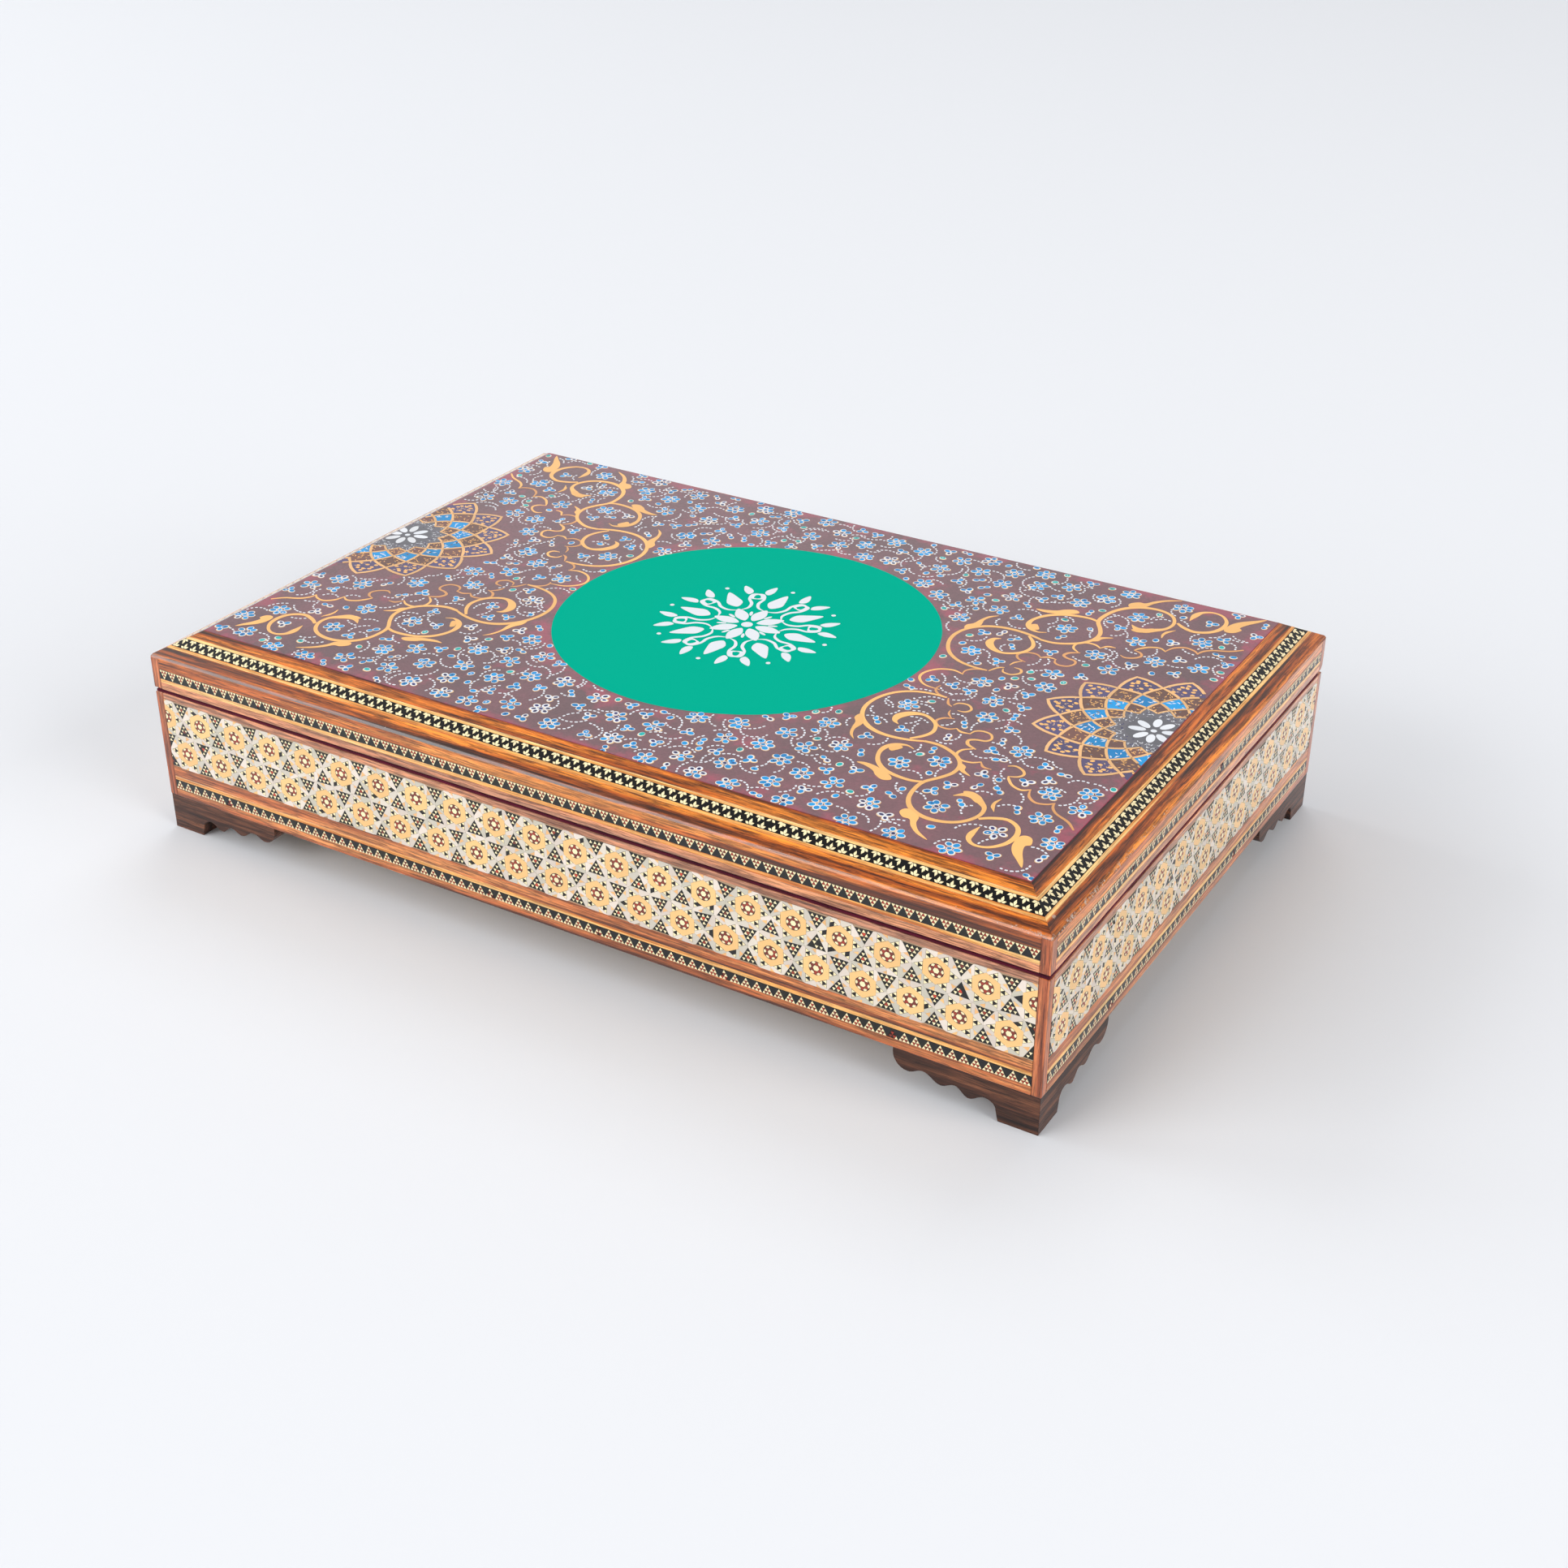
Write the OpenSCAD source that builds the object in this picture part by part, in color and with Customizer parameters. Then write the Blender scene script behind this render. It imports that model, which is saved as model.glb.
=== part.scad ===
// Inlaid wooden box with a hinged, bevelled lid, standing on four bracket feet.
// Millimetres. Origin: centre of the footprint on the surface it stands on.
// +Z up, X along the long side, the front long side faces -Y, the hinges are at +Y.

/* [Box] */
// Outer length of the box, along X
box_l = 318; // [260:1:400]
// Outer width of the box, along Y
box_w = 211; // [170:1:260]
// Width of the square wooden strip set into each upright corner
lip = 3.2; // [2.6:0.1:5]
// Thickness of the inlaid facings glued on the carcass
face_t = 2; // [1.5:0.1:2.5]
// Thickness of the carcass boards
wall_t = 7; // [6:0.5:9]
// Thickness of the bottom board
bottom_t = 4; // [3:0.5:6]
// Thickness of the velvet-covered lining panels
lining_t = 1.2; // [0.8:0.1:2]

/* [Heights of the body facings] */
// Height of the bracket feet
foot_h = 12.6; // [11:0.1:14]
// Height of the lowest plain band
band_low_h = 2.9; // [2:0.1:5]
// Height of the strip of inlaid triangles, on body and lid
tri_h = 3.3; // [2.5:0.1:5]
// Height of the pale stringing line, on body and lid
line_h = 1.3; // [0.8:0.1:2]
// Height of the plain band under the star panel
band_mid_h = 3.8; // [2:0.1:6]
// Height of the inlaid star panel
star_h = 24.6; // [20:0.1:34]
// Height of the plain band along the top of the body
band_top_h = 2.2; // [1.5:0.1:4]

/* [Seam and lid] */
// Gap between body and lid, mostly filled by velvet
seam = 1.4; // [1.2:0.1:2]
// Height of the lowest plain band of the lid
lid_low_h = 2.5; // [2.2:0.1:4]
// Height of the upper plain band of the lid
lid_top_h = 3.9; // [2.5:0.1:5]
// Height of the lid's square edge above its upper band
lid_edge_h = 0.6; // [0.4:0.1:1.5]
// Rise of the bevel from the lid's edge to the painted panel
bevel_rise = 6.7; // [5:0.1:8]
// Inset of the painted panel from the lid's outer faces
bevel_in = 12.5; // [11:0.1:16]
// Depth of the bevel's inlay strips
inlay_t = 1.2; // [0.8:0.1:1.5]
// Chamfer on the lid's lower back edge, which lets it swing and stops it
stop_chamfer = 1; // [0.8:0.1:1.2]

/* [Bevel strips, widths up the slope from the outer edge] */
// Plain outer wood
bev_outer = 4.4; // [3:0.1:5]
// Outer pale line
bev_line_a = 1.1; // [0.6:0.1:1.5]
// Woven black and white inlay
bev_inlay = 3.9; // [3:0.1:4.5]
// Inner pale line
bev_line_b = 1; // [0.6:0.1:1.5]

/* [Hinges] */
// Distance from the middle of the box to the middle of each hinge
hinge_x = 85; // [60:1:110]
// Length of each hinge
hinge_l = 30; // [24:1:36]
// Outer radius of the hinge barrel
barrel_r = 2; // [1.8:0.1:2.2]
// Radius of the hinge pin
pin_r = 0.9; // [0.7:0.05:1]
// Running clearance between pin and knuckles, on radius
pin_gap = 0.05; // [0.02:0.01:0.08]
// Distance of the pin's axis inside the back face
pin_in = 1; // [0.8:0.1:1.2]

/* [Feet] */
// Length of each bracket along the box
foot_l = 45; // [36:1:55]
// Thickness of the bracket boards
foot_t = 6; // [4:0.5:8]

/* [Hidden] */
$fn = 48;
e = 0.01;
// Half the width of a glue line, so that mitred and butted pieces stay separate
glue = 0.03;
in_t = face_t + wall_t;
z_low = foot_h + band_low_h;
z_tri = z_low + tri_h;
z_line = z_tri + line_h;
z_mid = z_line + band_mid_h;
z_star = z_mid + star_h;
z_rim = z_star + band_top_h;
z_lid = z_rim + seam;
z_lid_line = z_lid + lid_low_h;
z_lid_tri = z_lid_line + line_h;
z_lid_top = z_lid_tri + tri_h;
z_edge = z_lid_top + lid_top_h;
z_arris = z_edge + lid_edge_h;
z_top = z_arris + bevel_rise;
board_t = 3;
z_board = z_edge - board_t;
z_floor = foot_h + bottom_t;
z_axis = z_rim + seam / 2;
y_axis = box_w / 2 - pin_in;
velvet_body = 0.8;
velvet_lid = 0.4;
leaf_t = 1;
leaf_y = box_w / 2 - in_t + 0.4;
knuckle = hinge_l / 3;
screw_y = leaf_y + 2.8;
slope = atan2(bevel_rise, bevel_in);
slope_l = sqrt(bevel_rise * bevel_rise + bevel_in * bevel_in);

FRONT = 0;
RIGHT = 1;
BACK = 2;
LEFT = 3;
SIDES = [FRONT, RIGHT, BACK, LEFT];

// ---------------------------------------------------------------- helpers

function side_len(s) = s % 2 == 0 ? box_l : box_w;

// Places a piece drawn with its outer face on Y = 0, its inside towards +Y
module at_side(s) {
    rotate([0, 0, 90 * s])
        translate([0, -(s % 2 == 0 ? box_w : box_l) / 2, 0])
            children();
}

// A facing strip between the corner strips of one side
module facing(s, z0, z1) {
    w = side_len(s) - 2 * lip;
    at_side(s) translate([-w / 2, 0, z0]) cube([w, face_t, z1 - z0]);
}

// A section in (inset, height) run along one side and mitred at both ends
module mitred(s, section, depth) {
    w = side_len(s);
    at_side(s) intersection() {
        rotate([90, 0, 90]) linear_extrude(height = w, center = true) polygon(section);
        translate([0, 0, -1]) linear_extrude(height = z_top + 2)
            polygon([[-w / 2 + glue, 0], [w / 2 - glue, 0],
                     [w / 2 - glue - depth, depth], [-w / 2 + glue + depth, depth]]);
    }
}

// A flat frame strip of one side: from inset a to inset b, mitred
module frame_strip(s, a, b, z0, z1) {
    w = side_len(s);
    at_side(s) translate([0, 0, z0]) linear_extrude(height = z1 - z0)
        polygon([[-w / 2 + glue + a, a], [w / 2 - glue - a, a],
                 [w / 2 - glue - b, b], [-w / 2 + glue + b, b]]);
}

// Room for the hinge barrels and leaves, in whatever they are let into
module hinge_room(leaf_z) {
    for (x = [-hinge_x, hinge_x]) {
        translate([x, y_axis, z_axis]) rotate([0, 90, 0])
            cylinder(r = barrel_r + 0.2, h = hinge_l + 1.6, center = true);
        translate([x - hinge_l / 2 - 0.1, leaf_y - 0.1, leaf_z])
            cube([hinge_l + 0.2, y_axis - leaf_y + 0.1, leaf_t]);
    }
}

module pilot_holes(z0, z1) {
    for (x = [-hinge_x, hinge_x], d = [-1, 0, 1])
        translate([x + d * knuckle, screw_y, z0]) cylinder(r = 0.77, h = z1 - z0);
}

// The chamfer along the lid's lower back edge
module stop_cut() {
    c = stop_chamfer;
    translate([0, box_w / 2, z_lid]) rotate([90, 0, 90])
        linear_extrude(height = box_l + 4, center = true)
            polygon([[-c, -e], [e, -e], [e, c], [0, c], [-c, 0]]);
}

// ------------------------------------------------------------------- body

module wall_front() {
    color("peru") carcass_wall(FRONT);
}

module wall_back() {
    color("peru") difference() {
        carcass_wall(BACK);
        hinge_room(z_rim - leaf_t);
        pilot_holes(z_rim - leaf_t - 6, z_rim);
    }
}

module wall_left() {
    color("peru") cross_wall(LEFT);
}

module wall_right() {
    color("peru") cross_wall(RIGHT);
}

// Long wall, running between the facings of the short sides
module carcass_wall(s) {
    w = box_l - 2 * face_t;
    n = lip - face_t;
    difference() {
        at_side(s) translate([-w / 2, face_t, foot_h]) cube([w, wall_t, z_rim - foot_h]);
        for (m = [-1, 1])
            at_side(s) translate([m * (w / 2) - n, face_t - n, foot_h - 1])
                cube([2 * n, 2 * n, z_rim - foot_h + 2]);
    }
}

// Short wall, fitted between the long ones
module cross_wall(s) {
    w = box_w - 2 * in_t;
    at_side(s) translate([-w / 2, face_t, foot_h]) cube([w, wall_t, z_rim - foot_h]);
}

module bottom_board() {
    color("burlywood")
        translate([-box_l / 2 + in_t, -box_w / 2 + in_t, foot_h])
            cube([box_l - 2 * in_t, box_w - 2 * in_t, bottom_t]);
}

module body_corner_strips() {
    color("sienna") corner_strips(foot_h, z_rim);
}

module corner_strips(z0, z1) {
    for (x = [-box_l / 2, box_l / 2 - lip], y = [-box_w / 2, box_w / 2 - lip])
        translate([x, y, z0]) cube([lip, lip, z1 - z0]);
}

module body_bands(s) {
    color("chocolate") {
        facing(s, foot_h, z_low);
        facing(s, z_line, z_mid);
        difference() {
            facing(s, z_star, z_rim);
            if (s == BACK) hinge_room(z_rim - leaf_t);
        }
    }
}

module body_stringing() {
    color("sandybrown") for (s = SIDES) facing(s, z_tri, z_line);
}

module body_triangles() {
    color("wheat") for (s = SIDES) facing(s, z_low, z_tri);
}

module star_panel(s) {
    color("moccasin") facing(s, z_mid, z_star);
}

// ------------------------------------------------------------------- feet

// Eased curve from one turning point of the scallops to the next
function ease(a, b, n) = [for (i = [1 : n])
    [a[0] + (b[0] - a[0]) * i / n, a[1] + (b[1] - a[1]) * (1 - cos(180 * i / n)) / 2]];

// Outline of a bracket board: distance from the corner, height
k = foot_l / 45;
leg = [13 * k, 3.4];
arch_a = [16.4 * k, 6.3];
lobe_a = [21.4 * k, 4.2];
arch_b = [25.6 * k, 6.8];
lobe_b = [29.9 * k, 5.2];
arch_c = [35.5 * k, 7.8];
lobe_c = [40.2 * k, 6.1];
outline = concat(
    [[0, 0], [12.2 * k, 0], leg],
    [for (i = [1 : 6]) [arch_a[0] - (arch_a[0] - leg[0]) * cos(15 * i),
                        leg[1] + (arch_a[1] - leg[1]) * sin(15 * i)]],
    ease(arch_a, lobe_a, 8),
    ease(lobe_a, arch_b, 7),
    ease(arch_b, lobe_b, 7),
    ease(lobe_b, arch_c, 8),
    ease(arch_c, lobe_c, 8),
    [for (i = [1 : 7]) [lobe_c[0] + (foot_l - lobe_c[0]) * sin(90 * i / 7),
                        11.2 - (11.2 - lobe_c[1]) * cos(90 * i / 7)]],
    [[foot_l, foot_h], [0, foot_h]]);

// One bracket board on side s, at the end m, mitred at the corner
module bracket_board(s, m) {
    w = side_len(s);
    g = 0.2;
    at_side(s) intersection() {
        translate([m * (w / 2 - g), g, 0]) mirror([m > 0 ? 1 : 0, 0, 0])
            translate([0, foot_t, 0]) rotate([90, 0, 0])
                linear_extrude(height = foot_t) polygon(outline);
        translate([0, 0, -1]) linear_extrude(height = foot_h + 2)
            polygon([[m * (w / 2 - g - glue), g], [m * (w / 2 - g - glue - foot_t), g + foot_t],
                     [m * (w / 2 - foot_l - 5), g + foot_t], [m * (w / 2 - foot_l - 5), g]]);
    }
}

module foot_front_left() {
    color("saddlebrown") { bracket_board(FRONT, -1); bracket_board(LEFT, 1); }
}

module foot_front_right() {
    color("saddlebrown") { bracket_board(FRONT, 1); bracket_board(RIGHT, -1); }
}

module foot_back_left() {
    color("saddlebrown") { bracket_board(BACK, 1); bracket_board(LEFT, -1); }
}

module foot_back_right() {
    color("saddlebrown") { bracket_board(BACK, -1); bracket_board(RIGHT, 1); }
}

// Small glue blocks behind the mitres of the feet
module foot_blocks() {
    b = 7;
    g = foot_t + 0.2;
    color("burlywood")
        for (x = [-box_l / 2 + g, box_l / 2 - g - b], y = [-box_w / 2 + g, box_w / 2 - g - b])
            translate([x, y, 7.5]) cube([b, b, foot_h - 7.5]);
}

// ----------------------------------------------------------------- lining

module lining_floor() {
    color("maroon")
        translate([-box_l / 2 + in_t, -box_w / 2 + in_t, z_floor])
            cube([box_l - 2 * in_t, box_w - 2 * in_t, lining_t]);
}

module lining_frame(z0, z1) {
    for (s = [FRONT, BACK])
        at_side(s) translate([-box_l / 2 + in_t, in_t, z0])
            cube([box_l - 2 * in_t, lining_t, z1 - z0]);
    w = box_w - 2 * in_t - 2 * lining_t - 2 * glue;
    for (s = [LEFT, RIGHT])
        at_side(s) translate([-w / 2, in_t, z0]) cube([w, lining_t, z1 - z0]);
}

module lining_walls() {
    color("maroon") lining_frame(z_floor + lining_t, z_rim);
}

// Velvet over the rim: three mitred strips, and a back strip cut for the hinges
module rim(out, z0, z1) {
    b = in_t + lining_t;
    back = pin_in + barrel_r + 0.4;
    for (s = [FRONT, LEFT, RIGHT]) difference() {
        frame_strip(s, out, b, z0, z1);
        if (s != FRONT)
            translate([-box_l, box_w / 2 - b - 2 * glue, z0 - 1])
                cube([2 * box_l, b + 1, z1 - z0 + 2]);
    }
    difference() {
        translate([-box_l / 2 + out, box_w / 2 - b, z0]) cube([box_l - 2 * out, b - back, z1 - z0]);
        for (x = [-hinge_x, hinge_x])
            translate([x - hinge_l / 2 - 0.5, box_w / 2 - b - 1, z0 - 1])
                cube([hinge_l + 1, b + 2, z1 - z0 + 2]);
    }
}

module rim_velvet_body() {
    color("maroon") rim(0.3, z_rim, z_rim + velvet_body);
}

// ----------------------------------------------------------------- hinges

// Leaf and its knuckles; up is 1 for the lid's leaf, -1 for the body's
module hinge_leaf(x, up) {
    r = pin_r + pin_gap;
    zl = up > 0 ? seam / 2 : -seam / 2 - leaf_t;
    mine = up > 0 ? [0] : [-1, 1];
    other = up > 0 ? [-1, 1] : [0];
    color("goldenrod") translate([x, y_axis, z_axis]) difference() {
        union() {
            difference() {
                translate([-hinge_l / 2, leaf_y - y_axis, zl])
                    cube([hinge_l, y_axis - leaf_y, leaf_t]);
                for (i = other) translate([i * knuckle, 0, 0]) rotate([0, 90, 0])
                    cylinder(r = barrel_r + 0.2, h = knuckle + 0.2, center = true);
            }
            for (i = mine) translate([i * knuckle, 0, 0]) rotate([0, 90, 0])
                cylinder(r = barrel_r, h = knuckle - 0.2, center = true);
        }
        rotate([0, 90, 0]) cylinder(r = r, h = hinge_l + 2, center = true);
        for (d = [-1, 0, 1]) translate([d * knuckle, screw_y - y_axis, 0]) {
            cylinder(r = 0.8, h = 8, center = true);
            if (up > 0)
                translate([0, 0, zl - e]) cylinder(r1 = 1.56, r2 = 0.8, h = 0.8);
            else
                translate([0, 0, zl + leaf_t - 0.8 + e]) cylinder(r1 = 0.8, r2 = 1.56, h = 0.8);
        }
    }
}

module hinge_pins() {
    color("darkgoldenrod") for (x = [-hinge_x, hinge_x])
        translate([x, y_axis, z_axis]) rotate([0, 90, 0]) {
            cylinder(r = pin_r, h = hinge_l + 0.2, center = true);
            for (m = [-1, 1]) translate([0, 0, m * (hinge_l / 2 + 0.3)])
                cylinder(r = pin_r + 0.45, h = 0.4, center = true);
        }
}

// Countersunk slotted screw, head up at Z = 0
module screw(len) {
    difference() {
        union() {
            translate([0, 0, -0.8]) cylinder(r1 = 0.75, r2 = 1.5, h = 0.8);
            translate([0, 0, -len]) cylinder(r = 0.75, h = len - 0.8 + e);
        }
        translate([-2, -0.18, -0.35]) cube([4, 0.36, 1]);
    }
}

module screws_body() {
    color("gold") for (x = [-hinge_x, hinge_x], d = [-1, 0, 1])
        translate([x + d * knuckle, screw_y, z_rim]) rotate([0, 0, 25 + 40 * d]) screw(6);
}

module screws_lid() {
    color("gold") for (x = [-hinge_x, hinge_x], d = [-1, 0, 1])
        translate([x + d * knuckle, screw_y, z_lid]) rotate([180, 0, 15 - 35 * d]) screw(5.5);
}

// -------------------------------------------------------------------- lid

module lid_rail_front() {
    color("peru") long_rail(FRONT);
}

module lid_rail_back() {
    color("peru") difference() {
        long_rail(BACK);
        hinge_room(z_lid);
        pilot_holes(z_lid, z_lid + 5.8);
    }
}

module lid_rail_left() {
    color("peru") short_rail(LEFT);
}

module lid_rail_right() {
    color("peru") short_rail(RIGHT);
}

module long_rail(s) {
    w = box_l - 2 * face_t;
    n = lip - face_t;
    difference() {
        at_side(s) translate([-w / 2, face_t, z_lid]) cube([w, wall_t, z_board - z_lid]);
        for (m = [-1, 1])
            at_side(s) translate([m * (w / 2) - n, face_t - n, z_lid - 1])
                cube([2 * n, 2 * n, z_board - z_lid + 2]);
    }
}

module short_rail(s) {
    w = box_w - 2 * in_t;
    at_side(s) translate([-w / 2, face_t, z_lid]) cube([w, wall_t, z_board - z_lid]);
}

module lid_board() {
    n = lip - face_t;
    color("burlywood") difference() {
        translate([-box_l / 2 + face_t, -box_w / 2 + face_t, z_board])
            cube([box_l - 2 * face_t, box_w - 2 * face_t, board_t]);
        for (x = [-1, 1], y = [-1, 1])
            translate([x * (box_l / 2 - face_t) - n, y * (box_w / 2 - face_t) - n, z_board - 1])
                cube([2 * n, 2 * n, board_t + 2]);
    }
}

module painted_panel() {
    color("rosybrown")
        translate([-box_l / 2 + bevel_in, -box_w / 2 + bevel_in, z_edge])
            cube([box_l - 2 * bevel_in, box_w - 2 * bevel_in, z_top - z_edge]);
}

module lid_corner_strips() {
    color("sienna") difference() {
        corner_strips(z_lid, z_edge);
        stop_cut();
    }
}

module lid_bands(s) {
    color("darkorange") {
        difference() {
            facing(s, z_lid, z_lid_line);
            if (s == BACK) { hinge_room(z_lid); stop_cut(); }
        }
        facing(s, z_lid_top, z_edge);
    }
}

module lid_stringing() {
    color("sandybrown") for (s = SIDES) facing(s, z_lid_line, z_lid_tri);
}

module lid_triangles() {
    color("wheat") for (s = SIDES) facing(s, z_lid_tri, z_lid_top);
}

// A point of the bevel: distance up the slope from the edge, depth below it
function on_slope(a, d) = [a * cos(slope) + d * sin(slope), z_arris + a * sin(slope) - d * cos(slope)];
// Where the floor of the inlay rebate meets the painted panel
inner_z = on_slope(0, inlay_t)[1] + (bevel_in - on_slope(0, inlay_t)[0]) * tan(slope);

module moulding(s) {
    color("chocolate") mitred(s, [
        [0, z_edge], [0, z_arris], on_slope(bev_outer, 0), on_slope(bev_outer, inlay_t),
        [bevel_in, inner_z], [bevel_in, z_edge]], bevel_in);
}

module slope_strip(s, a, b) {
    mitred(s, [on_slope(a, inlay_t), on_slope(a, 0), on_slope(b, 0), on_slope(b, inlay_t)], bevel_in);
}

bev_1 = bev_outer + bev_line_a;
bev_2 = bev_1 + bev_inlay;
bev_3 = bev_2 + bev_line_b;

module bevel_inlay() {
    color("ivory") for (s = SIDES) slope_strip(s, bev_1, bev_2);
}

module bevel_stringing() {
    color("sandybrown") for (s = SIDES) {
        slope_strip(s, bev_outer, bev_1);
        slope_strip(s, bev_2, bev_3);
    }
}

module panel_border() {
    color("sienna") for (s = SIDES) mitred(s, [
        on_slope(bev_3, inlay_t), on_slope(bev_3, 0), [bevel_in, z_top], [bevel_in, inner_z]], bevel_in);
}

module lid_lining_top() {
    color("maroon")
        translate([-box_l / 2 + in_t, -box_w / 2 + in_t, z_board - lining_t])
            cube([box_l - 2 * in_t, box_w - 2 * in_t, lining_t]);
}

module lid_lining_walls() {
    color("maroon") lining_frame(z_lid, z_board - lining_t);
}

module rim_velvet_lid() {
    color("maroon") rim(1, z_lid - velvet_lid, z_lid);
}

// --------------------------------------------------------------- assembly

wall_front();
wall_back();
wall_left();
wall_right();
bottom_board();
body_corner_strips();
body_bands(FRONT);  // body_bands_front
body_bands(BACK);  // body_bands_back
body_bands(LEFT);  // body_bands_left
body_bands(RIGHT);  // body_bands_right
body_stringing();
body_triangles();
star_panel(FRONT);  // star_panel_front
star_panel(BACK);  // star_panel_back
star_panel(LEFT);  // star_panel_left
star_panel(RIGHT);  // star_panel_right
foot_front_left();
foot_front_right();
foot_back_left();
foot_back_right();
foot_blocks();
lining_floor();
lining_walls();
rim_velvet_body();
hinge_leaf(-hinge_x, -1);  // hinge_leaf_body_left
hinge_leaf(hinge_x, -1);  // hinge_leaf_body_right
hinge_pins();
screws_body();
lid_rail_front();
lid_rail_back();
lid_rail_left();
lid_rail_right();
lid_board();
painted_panel();
lid_corner_strips();
lid_bands(FRONT);  // lid_bands_front
lid_bands(BACK);  // lid_bands_back
lid_bands(LEFT);  // lid_bands_left
lid_bands(RIGHT);  // lid_bands_right
lid_stringing();
lid_triangles();
moulding(FRONT);  // moulding_front
moulding(BACK);  // moulding_back
moulding(LEFT);  // moulding_left
moulding(RIGHT);  // moulding_right
bevel_inlay();
bevel_stringing();
panel_border();
lid_lining_top();
lid_lining_walls();
rim_velvet_lid();
hinge_leaf(-hinge_x, 1);  // hinge_leaf_lid_left
hinge_leaf(hinge_x, 1);  // hinge_leaf_lid_right
screws_lid();
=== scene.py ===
import math

import bpy
import numpy as np
from mathutils import Matrix, Vector


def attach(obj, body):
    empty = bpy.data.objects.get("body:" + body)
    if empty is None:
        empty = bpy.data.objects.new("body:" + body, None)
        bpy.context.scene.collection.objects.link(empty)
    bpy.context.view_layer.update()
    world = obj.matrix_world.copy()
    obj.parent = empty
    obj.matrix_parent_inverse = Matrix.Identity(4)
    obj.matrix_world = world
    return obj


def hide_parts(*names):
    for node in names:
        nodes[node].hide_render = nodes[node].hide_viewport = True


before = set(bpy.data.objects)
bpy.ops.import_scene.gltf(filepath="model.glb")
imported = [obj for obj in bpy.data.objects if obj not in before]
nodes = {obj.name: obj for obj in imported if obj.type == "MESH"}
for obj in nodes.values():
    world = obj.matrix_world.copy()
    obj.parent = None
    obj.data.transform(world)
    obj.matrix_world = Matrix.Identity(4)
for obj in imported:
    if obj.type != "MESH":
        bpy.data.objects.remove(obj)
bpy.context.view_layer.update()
rng = np.random.default_rng(41)

# ------------------------------------------------------------- dimensions, mm
BOX_L, BOX_W = 318.0, 211.0
LIP = 3.2
Z_FOOT = 12.6
Z_LOW = 15.5
Z_TRI = 18.8
Z_LINE = 20.1
Z_MID = 23.9
Z_STAR = 48.5
Z_RIM = 50.7
Z_LID = 52.1
Z_LID_LINE = 54.6
Z_LID_TRI = 55.9
Z_LID_TOP = 59.2
Z_EDGE = 63.1
Z_ARRIS = 63.7
Z_TOP = 70.4
BEV_IN, BEV_RISE = 12.5, 6.7
SLOPE = math.atan2(BEV_RISE, BEV_IN)
BEV_1, BEV_2, BEV_3 = 5.5, 9.4, 10.4
S3 = math.sqrt(3)
FRONT, RIGHT, BACK, LEFT = 0, 1, 2, 3


def side_len(s):
    return BOX_L if s % 2 == 0 else BOX_W


def side_depth(s):
    return BOX_W if s % 2 == 0 else BOX_L


# ------------------------------------------------------------ small geometry
def area(p):
    x, y = p[:, 0], p[:, 1]
    return 0.5 * float(np.sum(x * np.roll(y, -1) - np.roll(x, -1) * y))


def ccw(poly):
    p = np.asarray(poly, float)
    return p if area(p) > 0 else p[::-1]


def inset(poly, d):
    """The polygon with every edge moved inwards by d, or None where nothing is left."""
    p = ccw(poly)
    keep = np.hypot(*(np.roll(p, -1, 0) - p).T) > 1e-4
    p = p[keep]
    n = len(p)
    if n < 3:
        return None
    if d <= 0:
        return p
    e = np.roll(p, -1, 0) - p
    e /= np.hypot(e[:, 0], e[:, 1])[:, None]
    nrm = np.c_[-e[:, 1], e[:, 0]]
    prev_n, prev_e = np.roll(nrm, 1, 0), np.roll(e, 1, 0)
    dot = (prev_n * nrm).sum(1)
    out = p + (prev_n + nrm) * (d / np.maximum(1 + dot, 0.12))[:, None]
    e2 = np.roll(out, -1, 0) - out
    if area(out) < 0.01 or ((e2 * e).sum(1) < 0).any():
        return None
    return out


def clip(poly, x0, x1, y0, y1):
    p = [tuple(q) for q in poly]
    for axis, lim, sign in ((0, x0, 1), (0, x1, -1), (1, y0, 1), (1, y1, -1)):
        out = []
        for i in range(len(p)):
            a, b = p[i - 1], p[i]
            da, db = sign * (a[axis] - lim), sign * (b[axis] - lim)
            if (da >= 0) != (db >= 0):
                t = da / (da - db)
                out.append((a[0] + (b[0] - a[0]) * t, a[1] + (b[1] - a[1]) * t))
            if db >= 0:
                out.append(b)
        p = out
        if len(p) < 3:
            return None
    p = np.array(p)
    return p if abs(area(p)) > 0.01 else None


def rot(p, deg, about=(0, 0)):
    c, s = math.cos(math.radians(deg)), math.sin(math.radians(deg))
    p = np.asarray(p, float) - about
    return p @ np.array([[c, s], [-s, c]]) + about


def polar(r, deg):
    return (r * math.cos(math.radians(deg)), r * math.sin(math.radians(deg)))


def smooth(points, steps=7, closed=False):
    """Catmull-Rom through the points; extra columns, such as width, are eased along."""
    p = np.asarray(points, float)
    n = len(p)
    out = []
    for i in range(n if closed else n - 1):
        if closed:
            a, b, c, d = p[i - 1], p[i], p[(i + 1) % n], p[(i + 2) % n]
        else:
            a, b, c, d = p[max(i - 1, 0)], p[i], p[i + 1], p[min(i + 2, n - 1)]
        for k in range(steps):
            t = k / steps
            out.append(0.5 * (2 * b + (c - a) * t + (2 * a - 5 * b + 4 * c - d) * t * t
                              + (3 * b - a - 3 * c + d) * t ** 3))
    if not closed:
        out.append(p[-1])
    return np.array(out)


def on_side(s, depth_mm):
    """Coordinates (along, height, outwards) of one upright side, depth_mm from the middle."""
    a = math.pi / 2 * s
    c, n = round(math.cos(a)), round(math.sin(a))

    def f(q):
        x, y = q[:, 0], -depth_mm - q[:, 2]
        return np.c_[c * x - n * y, n * x + c * y, q[:, 1]]
    return f


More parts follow.
